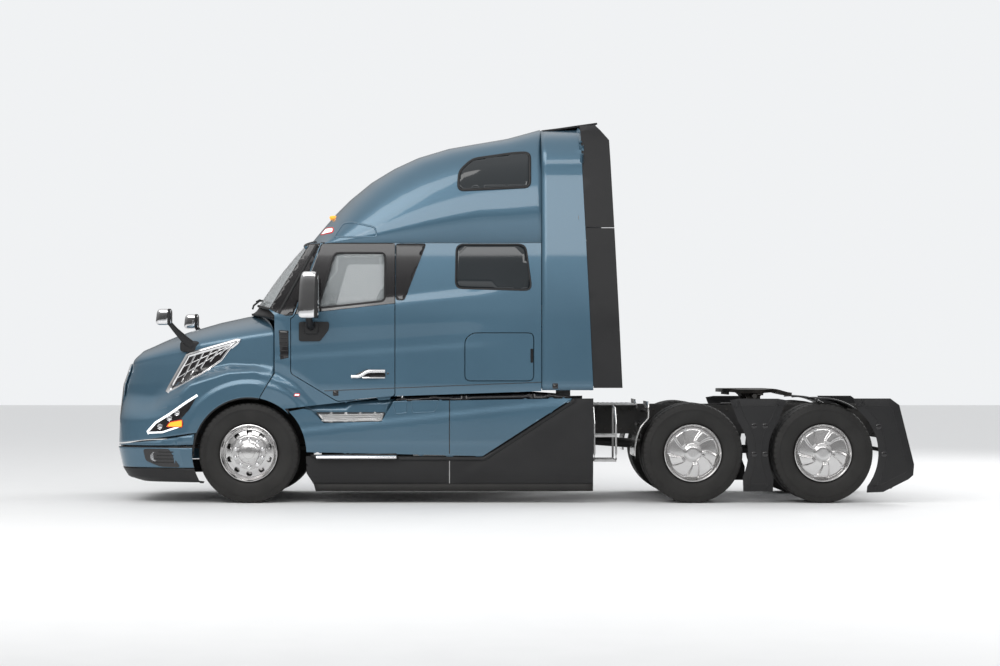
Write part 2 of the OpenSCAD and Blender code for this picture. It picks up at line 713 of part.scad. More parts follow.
module door_panel() {
    difference() {
        intersection() {
            prism_left(door_side);
            skin(door_x - 10, door_end_x + 10, 960, 2640, 0, wall);
        }
        prism_left(door_window);
    }
}
module door_pane() {
    intersection() {
        prism_left(door_window);
        skin(door_x, door_end_x, 1900, 2600, 20, 20 + glass_t);
    }
}
module mirror_unit() {
    block(door_x + 76, door_x + 394, -hw - 40, -hw, 1640 + lift, 1840 + lift);
    block(door_x + 150, door_x + 260, -hw - 160, -hw - 30, 1780 + lift, 1830 + lift);
    block(door_x + 97, door_x + 296, -hw - 280, -hw - 110, 1868 + lift, 2339 + lift);
    block(door_x + 170, door_x + 230, -hw - 170, -hw - 130, 1800 + lift, 1900 + lift);
}
module luggage_panel() {
    intersection() {
        prism_left(luggage_hole);
        skin(seam_x - 1000, seam_x, 1100, 1800, 0, wall);
    }
}
module door_left() { color("steelblue") door_panel(); }
module door_right() { color("steelblue") mirror([0, 1, 0]) door_panel(); }
module door_glass_left() { color("black") door_pane(); }
module door_glass_right() { color("black") mirror([0, 1, 0]) door_pane(); }
module door_mirror_left() { color("silver") union() mirror_unit(); }
module door_mirror_right() { color("silver") mirror([0, 1, 0]) union() mirror_unit(); }
module luggage_door_left() { color("steelblue") luggage_panel(); }
module luggage_door_right() { color("steelblue") mirror([0, 1, 0]) luggage_panel(); }

// Steering and wheels -----------------------------------------------------

knuckle_face = kingpin_y + 62;
module knuckle(s) {
    color("dimgray") on_side(s) mirror([0, 1, 0]) difference() {
        union() {
            for (z = [-140, 66]) {
                rod_z(front_x, kingpin_y, 44, axle_z + z, axle_z + z + 74);
                block(front_x - 44, front_x + 44, kingpin_y, knuckle_face + 24, axle_z + z, axle_z + z + 74);
            }
            block(front_x - 55, front_x + 55, knuckle_face, knuckle_face + 24, axle_z - 140, axle_z + 140);
            rod_y(front_x, axle_z, front_spindle_r, knuckle_face + 10, spindle_end);
            block(front_x, front_x + arm_x, kingpin_y - 18, kingpin_y + 18, axle_z - 140, axle_z - 110);
            rod_z(front_x + arm_x, kingpin_y, 24, axle_z - 140, axle_z - 110);
            rod_z(front_x + arm_x, kingpin_y, 12, axle_z - 190, axle_z - 130);
        }
        rod_z(front_x, kingpin_y, kingpin_r + run_gap, axle_z - 200, axle_z + 200);
    }
}
module knuckle_left() { knuckle(-1); }
module knuckle_right() { knuckle(1); }
module tie_rod() {
    z = axle_z - 168;
    y = kingpin_y;
    color("dimgray") difference() {
        union() {
            rod_y(front_x + arm_x, z, 15, -y + 10, y - 10);
            for (s = [-1, 1]) rod_z(front_x + arm_x, s * y, 26, z - 17, z + 17);
        }
        rod_z(front_x + arm_x, -y, 12 + run_gap, z - 30, z + 30);
        rod_z(front_x + arm_x, y, 15, z - 30, z + 30);
    }
}

module tyre(x, y) {
    c = 28;
    h = tyre_w / 2;
    color("black") translate([x, y, axle_z]) rotate([90, 0, 0]) rotate_extrude($fn = 96)
        polygon([[rim_r, -h + 35], [rim_r + 20, -h + 12], [tyre_r - 90, -h], [tyre_r - c, -h + 12],
            [tyre_r, -h + 12 + c], [tyre_r, h - 12 - c], [tyre_r - c, h - 12], [tyre_r - 90, h],
            [rim_r + 20, h - 12], [rim_r, h - 35]]);
}
module rim_barrel(x, y0, y1) {
    difference() {
        rod_y(x, axle_z, rim_r - trim_gap, y0, y1);
        rod_y(x, axle_z, rim_r - 20, y0 - 1, y1 + 1);
    }
}
module front_rim(s) {
    y = tyre_y;
    h = tyre_w / 2;
    color("silver") on_side(-s) difference() {
        union() {
            rim_barrel(front_x, y - h + 10, y + h - 10);
            rod_y(front_x, axle_z, rim_r - 10, y + 40, y + 62);
            rod_y(front_x, axle_z, 110, knuckle_face + 34, y + h);
        }
        rod_y(front_x, axle_z, front_spindle_r + run_gap, 0, spindle_end + 8);
        for (a = [0 : 36 : 324]) translate([front_x, 0, axle_z]) rotate([0, a, 0])
            rod_y(232, 0, 30, y + 30, y + 80);
    }
}
module twin_tyres(x, s) { for (k = [0, 1]) tyre(x, s * (tyre_y - k * twin_pitch)); }
module twin_rims(x, s) {
    y1 = tyre_y + tyre_w / 2 - 10;
    y0 = tyre_y - twin_pitch - tyre_w / 2 + 10;
    mid = tyre_y - twin_pitch / 2;
    color("silver") on_side(-s) difference() {
        union() {
            rim_barrel(x, y0, y1);
            rod_y(x, axle_z, rim_r - 10, mid - 20, mid + 20);
            rod_y(x, axle_z, rim_r - 10, y1 - 30, y1 - 15);
            rod_y(x, axle_z, 120, y0 + 20, y1 + 5);
        }
        rod_y(x, axle_z, rear_spindle_r + run_gap, 0, spindle_end + 8);
    }
}
module front_tyre_left() { tyre(front_x, -tyre_y); }
module front_tyre_right() { tyre(front_x, tyre_y); }
module front_rim_left() { front_rim(-1); }
module front_rim_right() { front_rim(1); }
module drive_tyres_left() { twin_tyres(drive_x[0], -1); }
module drive_tyres_right() { twin_tyres(drive_x[0], 1); }
module drive_rims_left() { twin_rims(drive_x[0], -1); }
module drive_rims_right() { twin_rims(drive_x[0], 1); }
module rear_tyres_left() { twin_tyres(drive_x[1], -1); }
module rear_tyres_right() { twin_tyres(drive_x[1], 1); }
module rear_rims_left() { twin_rims(drive_x[1], -1); }
module rear_rims_right() { twin_rims(drive_x[1], 1); }

frame();
front_axle();
suspension();
driveline();
engine();
fuel_tanks();
bumper();
bumper_valance();
side_fairings();
lower_fairings();
cab_steps();
deck_plate();
quarter_fenders();
wheel_fairings();
fifth_wheel_base();
tail_bar();
cab_floor();
cowl();
cab_sides();
sleeper_back();
roof();
windscreen();
side_windows();
side_extenders();
roof_spoiler();
seats();
dashboard();
steering_wheel();
bunk_base();
mattress();
hood();
grille();
headlamps();
hood_mirrors();
door_left();
door_right();
door_glass_left();
door_glass_right();
door_mirror_left();
door_mirror_right();
luggage_door_left();
luggage_door_right();
fifth_wheel();
knuckle_left();
knuckle_right();
tie_rod();
front_tyre_left();
front_tyre_right();
front_rim_left();
front_rim_right();
drive_tyres_left();
drive_tyres_right();
drive_rims_left();
drive_rims_right();
rear_tyres_left();
rear_tyres_right();
rear_rims_left();
rear_rims_right();
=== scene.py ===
# Semi truck tractor unit: the looks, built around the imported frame.
import math

import bmesh
import bpy
import numpy as np
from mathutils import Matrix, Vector
from mathutils.bvhtree import BVHTree
from mathutils.geometry import delaunay_2d_cdt


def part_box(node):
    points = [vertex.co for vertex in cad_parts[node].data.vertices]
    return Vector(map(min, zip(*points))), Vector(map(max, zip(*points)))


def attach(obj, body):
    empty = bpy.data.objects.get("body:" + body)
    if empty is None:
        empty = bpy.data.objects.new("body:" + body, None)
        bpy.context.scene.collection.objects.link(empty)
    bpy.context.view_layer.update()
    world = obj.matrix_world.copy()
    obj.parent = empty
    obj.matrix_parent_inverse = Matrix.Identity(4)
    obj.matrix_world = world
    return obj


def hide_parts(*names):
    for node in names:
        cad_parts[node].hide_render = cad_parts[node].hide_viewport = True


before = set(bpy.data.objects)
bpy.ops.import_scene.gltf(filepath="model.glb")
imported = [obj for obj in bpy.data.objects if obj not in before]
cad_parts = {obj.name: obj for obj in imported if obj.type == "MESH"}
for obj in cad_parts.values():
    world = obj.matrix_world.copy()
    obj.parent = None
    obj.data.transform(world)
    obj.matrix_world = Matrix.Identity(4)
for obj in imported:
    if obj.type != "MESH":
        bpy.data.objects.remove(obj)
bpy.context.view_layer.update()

frontLow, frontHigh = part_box("front_tyre_left")
driveLow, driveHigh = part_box("drive_tyres_left")
rearLow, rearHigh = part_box("rear_tyres_left")
bumperLow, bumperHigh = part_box("bumper")
doorLow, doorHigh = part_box("door_left")
noseX = bumperLow.x
frontX = (frontLow.x + frontHigh.x) / 2
driveX = (driveLow.x + driveHigh.x) / 2
rearX = (rearLow.x + rearHigh.x) / 2
axleZ = (frontLow.z + frontHigh.z) / 2
tyreR = (frontHigh.z - frontLow.z) / 2
halfW = bumperHigh.y
doorX = doorLow.x
doorEndX = doorHigh.x
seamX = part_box("sleeper_back")[0].x
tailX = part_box("wheel_fairings")[1].x
wellR = tyreR + 0.057
roofFoot = 2.643  # height where the roof meets the sides


def gridFaces(rows, cols, closeRows=False, closeCols=False):
    # quads of a rows x cols grid of points
    r = np.arange(rows if closeRows else rows - 1)[:, None]
    c = np.arange(cols if closeCols else cols - 1)[None, :]
    r2, c2 = (r + 1) % rows, (c + 1) % cols
    quads = np.stack(np.broadcast_arrays(r * cols + c, r2 * cols + c, r2 * cols + c2, r * cols + c2), -1)
    return quads.reshape(-1, 4)


def joined(*shapes):
    # several (points, faces) shapes as one, each face list moved on by the points before it
    points, faces, count = [], [], 0
    for p, f in shapes:
        points.append(np.asarray(p, float).reshape(-1, 3))
        faces += (np.asarray(f) + count).tolist() if isinstance(f, np.ndarray) else [[i + count for i in q]
                for q in f]
        count += len(points[-1])
    return np.concatenate(points), faces


def flipped(shape):
    return shape[0], [list(f)[::-1] for f in shape[1]]


def mirrored(shape):
    # the same shape across the middle plane: y changes sign and faces turn round
    return np.asarray(shape[0]) * [1, -1, 1], [list(f)[::-1] for f in shape[1]]


def moved(shape, by):
    return np.asarray(shape[0]) + np.asarray(by, float), shape[1]


def grid(points, closeRows=False, closeCols=False):
    rows, cols = points.shape[:2]
    return points.reshape(-1, 3), gridFaces(rows, cols, closeRows, closeCols)


def lathe(profile, centre, axis="y", steps=64, part=1.0):
    # each (radius, height) of the profile is carried round the axis: centre + r cos a, r sin a, h
    profile = np.asarray(profile, float)
    a = np.linspace(0, 2 * np.pi * part, steps, endpoint=part < 1.0)
    r, h = profile[:, 0], profile[:, 1]
    ring = np.stack([np.outer(np.cos(a), r), np.outer(np.sin(a), r), np.outer(np.ones_like(a), h)], -1)
    order = {"z": (0, 1, 2), "y": (0, 2, 1), "x": (1, 2, 0)}[axis]
    points = np.empty_like(ring)
    for source, target in enumerate(order):
        points[..., target] = ring[..., source]
    shape = grid(points + np.asarray(centre, float), closeRows=part == 1.0)
    return flipped(shape) if axis == "y" else shape


def tube(path, radius, sides=12, up=(0, 0, 1), caps=True, squash=1.0):
    # a circle carried along the path, its plane square to the local direction
    path = np.asarray(path, float)
    along = np.gradient(path, axis=0)
    along /= np.linalg.norm(along, axis=1)[:, None]
    sideways = np.cross(np.asarray(up, float), along)
    short = np.linalg.norm(sideways, axis=1) < 1e-4
    sideways[short] = np.cross([1.0, 0.0, 0.0], along[short])
    sideways /= np.linalg.norm(sideways, axis=1)[:, None]
    lift = np.cross(along, sideways)
    a = np.linspace(0, 2 * np.pi, sides, endpoint=False)
    radius = np.broadcast_to(np.asarray(radius, float), len(path))
    points = path[:, None] + radius[:, None, None] * (
        np.cos(a)[None, :, None] * sideways[:, None] + squash * np.sin(a)[None, :, None] * lift[:, None])
    points, faces = grid(points, closeCols=True)
    faces = faces.tolist()
    if caps:
        last = (len(path) - 1) * sides
        faces += [list(range(sides))[::-1], [last + i for i in range(sides)]]
    return points, faces


def block(low, high):
    (x0, y0, z0), (x1, y1, z1) = low, high
    points = np.array([(x, y, z) for z in (z0, z1) for y in (y0, y1) for x in (x0, x1)], float)
    return points, [[0, 2, 3, 1], [4, 5, 7, 6], [0, 1, 5, 4], [2, 6, 7, 3], [0, 4, 6, 2], [1, 3, 7, 5]]


def prism(outline, low, high, axis="y"):
    # a closed outline in the plane across the axis, carried from low to high along it
    outline = np.asarray(outline, float)
    area = np.sum(outline[:, 0] * np.roll(outline[:, 1], -1) - outline[:, 1] * np.roll(outline[:, 0], -1))
    outline = outline if area > 0 else outline[::-1]
    n = len(outline)
    order = {"y": (0, 2, 1), "z": (0, 1, 2), "x": (1, 2, 0)}[axis]
    points = np.empty((2 * n, 3))
    points[:, order[0]] = np.tile(outline[:, 0], 2)
    points[:, order[1]] = np.tile(outline[:, 1], 2)
    points[:, order[2]] = np.repeat([low, high], n)
    i = np.arange(n)
    walls = np.stack([i, (i + 1) % n, (i + 1) % n + n, i + n], 1).tolist()
    shape = points, walls + [list(range(n))[::-1], list(range(n, 2 * n))]
    return flipped(shape) if axis == "y" else shape


def resampled(outline, step, closed=True):
    # points every step or less along a broken line, its corners kept
    outline = np.asarray(outline, float)
    ends = np.roll(outline, -1, 0) if closed else outline[1:]
    starts = outline if closed else outline[:-1]
    out = []
    for a, b in zip(starts, ends):
        n = max(1, int(math.ceil(np.linalg.norm(b - a) / step)))
        out.append(a + (b - a) * (np.arange(n) / n)[:, None])
    return np.concatenate(out)


def rounded(outline, radius, steps=5):
    # each corner of a closed outline is replaced by a quadratic curve of the given reach
    outline = np.asarray(outline, float)
    before, after = np.roll(outline, 1, 0), np.roll(outline, -1, 0)
    out = []
    for p, a, b in zip(outline, before, after):
        reach = min(radius, 0.45 * np.linalg.norm(a - p), 0.45 * np.linalg.norm(b - p))
        s = p + (a - p) / np.linalg.norm(a - p) * reach
        e = p + (b - p) / np.linalg.norm(b - p) * reach
        t = np.linspace(0, 1, steps)[:, None]
        out.append((1 - t) ** 2 * s + 2 * t * (1 - t) * p + t * t * e)
    return np.concatenate(out)


def inside(points, outline):
    # even-odd rule for many points at once
    x, z = points[:, 0][:, None], points[:, 1][:, None]
    x0, z0 = outline[:, 0], outline[:, 1]
    x1, z1 = np.roll(x0, -1), np.roll(z0, -1)
    spans = (z0 > z) != (z1 > z)
    with np.errstate(divide="ignore", invalid="ignore"):
        reach = x0 + (z - z0) * (x1 - x0) / np.where(z1 == z0, 1e-12, z1 - z0)
    return (spans & (x < reach)).sum(1) % 2 == 1


def fromEdge(points, outline):
    # distance of many points from a closed outline
    a, b = outline, np.roll(outline, -1, 0)
    d = b - a
    t = np.einsum("pek,ek->pe", points[:, None] - a, d) / np.maximum((d * d).sum(1), 1e-12)
    near = a + np.clip(t, 0, 1)[..., None] * d
    return np.linalg.norm(points[:, None] - near, axis=2).min(1)


def panel(outline, depth, holes=(), step=0.06):
    # an outline in x and z, filled with triangles and lifted to y = -depth(x, z), the left side
    loops = [resampled(o, step) for o in (outline, *holes)]
    low, high = loops[0].min(0), loops[0].max(0)
    xs, zs = np.arange(low[0] + step / 2, high[0], step), np.arange(low[1] + step / 2, high[1], step)
    fill = np.stack(np.meshgrid(xs, zs), -1).reshape(-1, 2)
    keep = inside(fill, loops[0]) & (fromEdge(fill, loops[0]) > 0.4 * step)
    for hole in loops[1:]:
        keep &= ~inside(fill, hole) & (fromEdge(fill, hole) > 0.4 * step)
    points, edges, start = [], [], 0
    for loop in loops:
        n = len(loop)
        edges += [(start + i, start + (i + 1) % n) for i in range(n)]
        points.append(loop)
        start += n
    points = np.concatenate(points + [fill[keep]])
    found = delaunay_2d_cdt([Vector(p) for p in points], edges, [], 0, 1e-6)
    flat = np.array([tuple(p) for p in found[0]])
    faces = np.array([f for f in found[2] if len(f) == 3])
    centre = flat[faces].mean(1)
    good = inside(centre, loops[0])
    for hole in loops[1:]:
        good &= ~inside(centre, hole)
    return np.stack([flat[:, 0], -depth(flat[:, 0], flat[:, 1]), flat[:, 1]], 1), faces[good]


def leftFacing(shape):
    # turn the faces of a left half round if their normals point to the right on the whole
    p, f = np.asarray(shape[0]), np.asarray(shape[1])
    sideways = np.cross(p[f[:, 2]] - p[f[:, 0]], p[f[:, 3]] - p[f[:, 1]])[:, 1].sum()
    return flipped(shape) if sideways > 0 else shape


def smooth(low, high, value):
    t = np.clip((value - low) / (high - low), 0, 1)
    return t * t * (3 - 2 * t)


def nodeGroup(name, inputs, outputs, build):
    group = bpy.data.node_groups.new(name, "ShaderNodeTree")
    for label, kind, value in inputs:
        socket = group.interface.new_socket(label, in_out="INPUT", socket_type=kind)
        socket.default_value = value
    for label, kind in outputs:
        group.interface.new_socket(label, in_out="OUTPUT", socket_type=kind)
    nodes, links = group.nodes, group.links
    build(nodes, links, nodes.new("NodeGroupInput"), nodes.new("NodeGroupOutput"))
    return group


def buildGrain(nodes, links, source, sink):
    # fine noise as a height, and a slow one as a patchy mask
    place = nodes.new("ShaderNodeTexCoord")
    fine = nodes.new("ShaderNodeTexNoise")
    slow = nodes.new("ShaderNodeTexNoise")
    fine.inputs["Detail"].default_value = 3
    slow.inputs["Detail"].default_value = 4
    links.new(source.outputs["Fine"], fine.inputs["Scale"])
    links.new(source.outputs["Slow"], slow.inputs["Scale"])
    for noise in (fine, slow):
        links.new(place.outputs["Object"], noise.inputs["Vector"])
    links.new(fine.outputs["Fac"], sink.inputs["Height"])
    links.new(slow.outputs["Fac"], sink.inputs["Patch"])


def buildDust(nodes, links, source, sink):
    # road dust: more of it low down, broken up by noise
    place = nodes.new("ShaderNodeTexCoord")
    split = nodes.new("ShaderNodeSeparateXYZ")
    links.new(place.outputs["Object"], split.inputs[0])
    low = nodes.new("ShaderNodeMapRange")
    low.inputs["From Min"].default_value = 0.0
    low.inputs["To Min"].default_value = 1.0
    low.inputs["To Max"].default_value = 0.0
    links.new(split.outputs["Z"], low.inputs["Value"])
    links.new(source.outputs["Height"], low.inputs["From Max"])
    noise = nodes.new("ShaderNodeTexNoise")
    noise.inputs["Scale"].default_value = 7
    noise.inputs["Detail"].default_value = 6
    links.new(place.outputs["Object"], noise.inputs["Vector"])
    mix = nodes.new("ShaderNodeMath")
    mix.operation = "MULTIPLY"
    links.new(low.outputs["Result"], mix.inputs[0])
    links.new(noise.outputs["Fac"], mix.inputs[1])
    scale = nodes.new("ShaderNodeMath")
    scale.operation = "MULTIPLY"
    links.new(mix.outputs[0], scale.inputs[0])
    links.new(source.outputs["Amount"], scale.inputs[1])
    links.new(scale.outputs[0], sink.inputs["Mask"])


def buildFlakes(nodes, links, source, sink):
    # metallic flakes: small cells, each a little lighter or darker
    place = nodes.new("ShaderNodeTexCoord")
    cells = nodes.new("ShaderNodeTexVoronoi")
    links.new(source.outputs["Scale"], cells.inputs["Scale"])
    links.new(place.outputs["Object"], cells.inputs["Vector"])
    split = nodes.new("ShaderNodeSeparateColor")
    links.new(cells.outputs["Color"], split.inputs[0])
    links.new(split.outputs[0], sink.inputs["Mask"])


floatSocket = "NodeSocketFloat"
grainGroup = nodeGroup("grain", [("Fine", floatSocket, 400.0), ("Slow", floatSocket, 3.0)],
                       [("Height", floatSocket), ("Patch", floatSocket)], buildGrain)
dustGroup = nodeGroup("dust", [("Height", floatSocket, 1.2), ("Amount", floatSocket, 0.4)],
                      [("Mask", floatSocket)], buildDust)
flakeGroup = nodeGroup("flakes", [("Scale", floatSocket, 900.0)], [("Mask", floatSocket)], buildFlakes)


def makeMaterial(name, colour, roughness, metallic=0.0, coat=0.0, second=None, spread=(0.35, 0.65),
                 fine=400.0, slow=3.0, bump=0.0, bumpDistance=0.001, roughSpread=0.06, dust=0.0,
                 dustHeight=1.2, flakes=0.0, glow=None, glowStrength=0.0, seeThrough=0.0, ior=1.45,
                 alpha=1.0, sheen=0.0, coatRough=0.05):
    mat = bpy.data.materials.new(name)
    mat.use_nodes = True
    nodes, links = mat.node_tree.nodes, mat.node_tree.links
    shader = nodes["Principled BSDF"]
    shader.inputs["Metallic"].default_value = metallic
    shader.inputs["IOR"].default_value = ior
    shader.inputs["Coat Weight"].default_value = coat
    shader.inputs["Coat Roughness"].default_value = coatRough
    shader.inputs["Transmission Weight"].default_value = seeThrough
    shader.inputs["Alpha"].default_value = alpha
    shader.inputs["Sheen Weight"].default_value = sheen
    grain = nodes.new("ShaderNodeGroup")
    grain.node_tree = grainGroup
    grain.inputs["Fine"].default_value = fine
    grain.inputs["Slow"].default_value = slow

    def mixed(factor, a, b):
        mix = nodes.new("ShaderNodeMix")
        mix.data_type = "RGBA"
        links.new(factor, mix.inputs[0])
        for socket, value in ((mix.inputs[6], a), (mix.inputs[7], b)):
            if isinstance(value, tuple):
                socket.default_value = (*value, 1.0)
            else:
                links.new(value, socket)
        return mix.outputs[2]

    second = second or tuple(c * 0.86 for c in colour)
    patch = nodes.new("ShaderNodeMapRange")
    patch.inputs["From Min"].default_value, patch.inputs["From Max"].default_value = spread
    links.new(grain.outputs["Patch"], patch.inputs["Value"])
    shade = mixed(patch.outputs["Result"], second, colour)
    if flakes:
        cells = nodes.new("ShaderNodeGroup")
        cells.node_tree = flakeGroup
        level = nodes.new("ShaderNodeMapRange")
        level.inputs["To Max"].default_value = flakes
        links.new(cells.outputs["Mask"], level.inputs["Value"])
        shade = mixed(level.outputs["Result"], shade, tuple(min(1.0, c * 2.2) for c in colour))
    if dust:
        dirt = nodes.new("ShaderNodeGroup")
        dirt.node_tree = dustGroup
        dirt.inputs["Height"].default_value = dustHeight
        dirt.inputs["Amount"].default_value = dust
        shade = mixed(dirt.outputs["Mask"], shade, (0.17, 0.15, 0.125))
    links.new(shade, shader.inputs["Base Color"])
    rough = nodes.new("ShaderNodeMapRange")
    rough.inputs["To Min"].default_value = max(0.02, roughness - roughSpread)
    rough.inputs["To Max"].default_value = min(1.0, roughness + roughSpread)
    links.new(grain.outputs["Patch"], rough.inputs["Value"])
    links.new(rough.outputs["Result"], shader.inputs["Roughness"])
    if bump:
        relief = nodes.new("ShaderNodeBump")
        relief.inputs["Strength"].default_value = bump
        relief.inputs["Distance"].default_value = bumpDistance
        links.new(grain.outputs["Height"], relief.inputs["Height"])
        links.new(relief.outputs["Normal"], shader.inputs["Normal"])
    if glow:
        shader.inputs["Emission Color"].default_value = (*glow, 1.0)
        shader.inputs["Emission Strength"].default_value = glowStrength
    return mat


paintBlue = (0.060, 0.127, 0.183)
materials = {"paint": makeMaterial("bluePaint", paintBlue, 0.34, metallic=0.45, coat=0.8,
                                   second=(0.055, 0.118, 0.171), flakes=0.08, slow=1.1, fine=60, bump=0.02,
                                   bumpDistance=0.0004, dust=0.10, dustHeight=0.9),
             "gloss": makeMaterial("glossBlack", (0.012, 0.011, 0.012), 0.16, coat=0.5, slow=2, fine=90,
                                   bump=0.02), "plastic": makeMaterial("grainedPlastic",
        (0.010, 0.010, 0.011), 0.5, fine=520, bump=0.22, bumpDistance=0.0008, second=(0.007, 0.007, 0.008),
        dust=0.03), "skirt": makeMaterial("skirtRubber", (0.009, 0.009, 0.009), 0.65, fine=240, bump=0.3,
                                          dust=0.12, dustHeight=0.4), "tyre": makeMaterial("tyreRubber",
        (0.0085, 0.008, 0.0078), 0.66, fine=180, slow=5, bump=0.35, bumpDistance=0.0012,
        second=(0.012, 0.0115, 0.011), dust=0.06, dustHeight=1.1), "alloy": makeMaterial("polishedAlloy",
        (0.66, 0.65, 0.65), 0.22, metallic=1.0, fine=150, slow=6, bump=0.03, second=(0.68, 0.675, 0.67),
        dust=0.1, dustHeight=1.1), "satin": makeMaterial("satinAlloy", (0.60, 0.60, 0.60), 0.38,
                                                         metallic=0.9, fine=300, bump=0.08,
                                                         second=(0.5, 0.5, 0.5), dust=0.15),
             "chrome": makeMaterial("chromePlate", (0.83, 0.83, 0.84), 0.07, metallic=1.0, slow=4, fine=80,
                                    bump=0.01, roughSpread=0.03), "chassis": makeMaterial("chassisPaint",
        (0.012, 0.012, 0.013), 0.48, fine=130, bump=0.2, slow=4, second=(0.018, 0.017, 0.016), dust=0.12),
             "iron": makeMaterial("castIron", (0.07, 0.068, 0.066), 0.62, metallic=0.6, fine=260, bump=0.5,
                                  slow=6, second=(0.05, 0.045, 0.042), dust=0.3),
             "grease": makeMaterial("greasedPlate", (0.03, 0.028, 0.026), 0.32, metallic=0.7, fine=60,
                                    bump=0.3, slow=9, second=(0.06, 0.055, 0.05)),
             "glass": makeMaterial("tintedGlass", (0.42, 0.45, 0.46), 0.03, fine=20, slow=1,
                                   roughSpread=0.01, alpha=0.38, second=(0.40, 0.43, 0.44)),
             "darkGlass": makeMaterial("privacyGlass", (0.02, 0.024, 0.027), 0.05, fine=20, slow=1,
                                       roughSpread=0.02, coat=0.3), "lens": makeMaterial("clearLens",
        (0.8, 0.82, 0.84), 0.04, alpha=0.3, roughSpread=0.01, fine=90, bump=0.02),
             "led": makeMaterial("whiteLight", (0.9, 0.92, 0.95), 0.2, glow=(0.92, 0.96, 1.0),
                                 glowStrength=0.8), "amber": makeMaterial("amberLens", (0.95, 0.36, 0.03),
        0.15, glow=(1.0, 0.4, 0.04), glowStrength=0.7, fine=300, bump=0.2), "red": makeMaterial("redLens",
        (0.5, 0.02, 0.015), 0.15, glow=(0.8, 0.03, 0.02), glowStrength=0.25, fine=300, bump=0.2),
             "trim": makeMaterial("cabTrim", (0.15, 0.15, 0.155), 0.6, fine=600, bump=0.25,
                                  bumpDistance=0.0006), "cloth": makeMaterial("seatCloth",
        (0.11, 0.115, 0.125), 0.85, fine=900, bump=0.5, sheen=0.4, slow=12, second=(0.08, 0.085, 0.095)),
             "linen": makeMaterial("bunkCloth", (0.5, 0.5, 0.48), 0.9, fine=700, bump=0.5, sheen=0.3,
                                   slow=8, second=(0.42, 0.42, 0.41)), "floorMat": makeMaterial("floorMat",
        (0.05, 0.05, 0.052), 0.85, fine=320, bump=0.5), "deck": makeMaterial("deckAlloy",
        (0.45, 0.45, 0.45), 0.42, metallic=0.9, fine=200, bump=0.2, dust=0.3), }


def piece(name, shape, finish, body, nodes=(), thick=0.0, bevel=0.0, subdivide=0, sharp=35.0, bevelSteps=2):
    # one finished object from points and faces, riding on a body
    points, faces = shape
    mesh = bpy.data.meshes.new(name)
    mesh.from_pydata(np.asarray(points).tolist(), [], [list(map(int, f)) for f in faces])
    mesh.validate()
    form = bmesh.new()
    form.from_mesh(mesh)
    bmesh.ops.remove_doubles(form, verts=form.verts, dist=2e-5)
    if not thick:
        bmesh.ops.recalc_face_normals(form, faces=form.faces)
    form.to_mesh(mesh)
    form.free()
    mesh.shade_smooth()
    mesh.set_sharp_from_angle(angle=math.radians(sharp))
    obj = bpy.data.objects.new(name, mesh)
    bpy.context.scene.collection.objects.link(obj)
    mesh.materials.append(materials[finish])
    if thick:
        wall = obj.modifiers.new("wall", "SOLIDIFY")
        wall.thickness = thick
        wall.offset = -1
    if bevel:
        edge = obj.modifiers.new("edge", "BEVEL")
        edge.width = bevel
        edge.segments = bevelSteps
        edge.limit_method = "ANGLE"
        edge.angle_limit = math.radians(40)
        edge.harden_normals = True
    if subdivide:
        surf = obj.modifiers.new("surface", "SUBSURF")
        surf.levels = surf.render_levels = subdivide
    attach(obj, body)
    if nodes:
        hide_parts(*nodes)
    return obj


def pair(name, shape, finish, body="chassis", nodes=(), **extra):
    # the left piece and its mirror image; a body or node name with {} takes the side's name
    for side, form in (("left", shape), ("right", mirrored(shape))):
        piece(f"{name}_{side}", form, finish, body.format(side),
              [n.format(side) for n in nodes], **extra)


print("stage: materials and shapes ready")

# where the camera stood: level, square to the left side, far off
view = {"place": (-0.3925, -23.75, 1.36), "lens": 80.2, "shiftX": 0.027, "shiftY": 0.036}
camera = bpy.data.objects.new("camera", bpy.data.cameras.new("camera"))
camera.location = view["place"]
camera.rotation_euler = (math.radians(90), 0, 0)
camera.data.lens = view["lens"]
camera.data.shift_x, camera.data.shift_y = view["shiftX"], view["shiftY"]
camera.data.clip_end = 200
bpy.context.scene.collection.objects.link(camera)
bpy.context.scene.camera = camera
scene = bpy.context.scene
scene.view_settings.view_transform = "Standard"
world = bpy.data.worlds.new("studio")
scene.world = world
world.use_nodes = True
skyNodes, skyLinks = world.node_tree.nodes, world.node_tree.links
skyNodes["Background"].inputs[1].default_value = 0.9


def darkHorizon(low, high, darkest):
    # white all round, but reflections see a wall that darkens towards the horizon,
    # so metal and black keep their depth
    place = skyNodes.new("ShaderNodeTexCoord")
    split = skyNodes.new("ShaderNodeSeparateXYZ")
    level = skyNodes.new("ShaderNodeMapRange")
    path = skyNodes.new("ShaderNodeLightPath")
    mix = skyNodes.new("ShaderNodeMix")
    mix.data_type = "RGBA"
    level.inputs["From Min"].default_value = low
    level.inputs["From Max"].default_value = high
    level.inputs["To Min"].default_value = darkest
    skyLinks.new(place.outputs["Generated"], split.inputs[0])
    skyLinks.new(split.outputs["Z"], level.inputs["Value"])
    skyLinks.new(path.outputs["Is Glossy Ray"], mix.inputs[0])
    mix.inputs[6].default_value = (0.97, 0.985, 1, 1)
    skyLinks.new(level.outputs["Result"], mix.inputs[7])
    skyLinks.new(mix.outputs[2], skyNodes["Background"].inputs[0])


darkHorizon(0.02, 0.75, 0.10)
floor = bpy.data.objects.new("studioFloor", bpy.data.meshes.new("studioFloor"))
floor.data.from_pydata([(-60, -40, 0), (60, -40, 0), (60, 60, 0), (-60, 60, 0)], [], [[0, 1, 2, 3]])
bpy.context.scene.collection.objects.link(floor)
floor.data.materials.append(makeMaterial("studioFloorPaint", (0.80, 0.80, 0.80), 0.6,
                                         second=(0.79, 0.79, 0.79)))


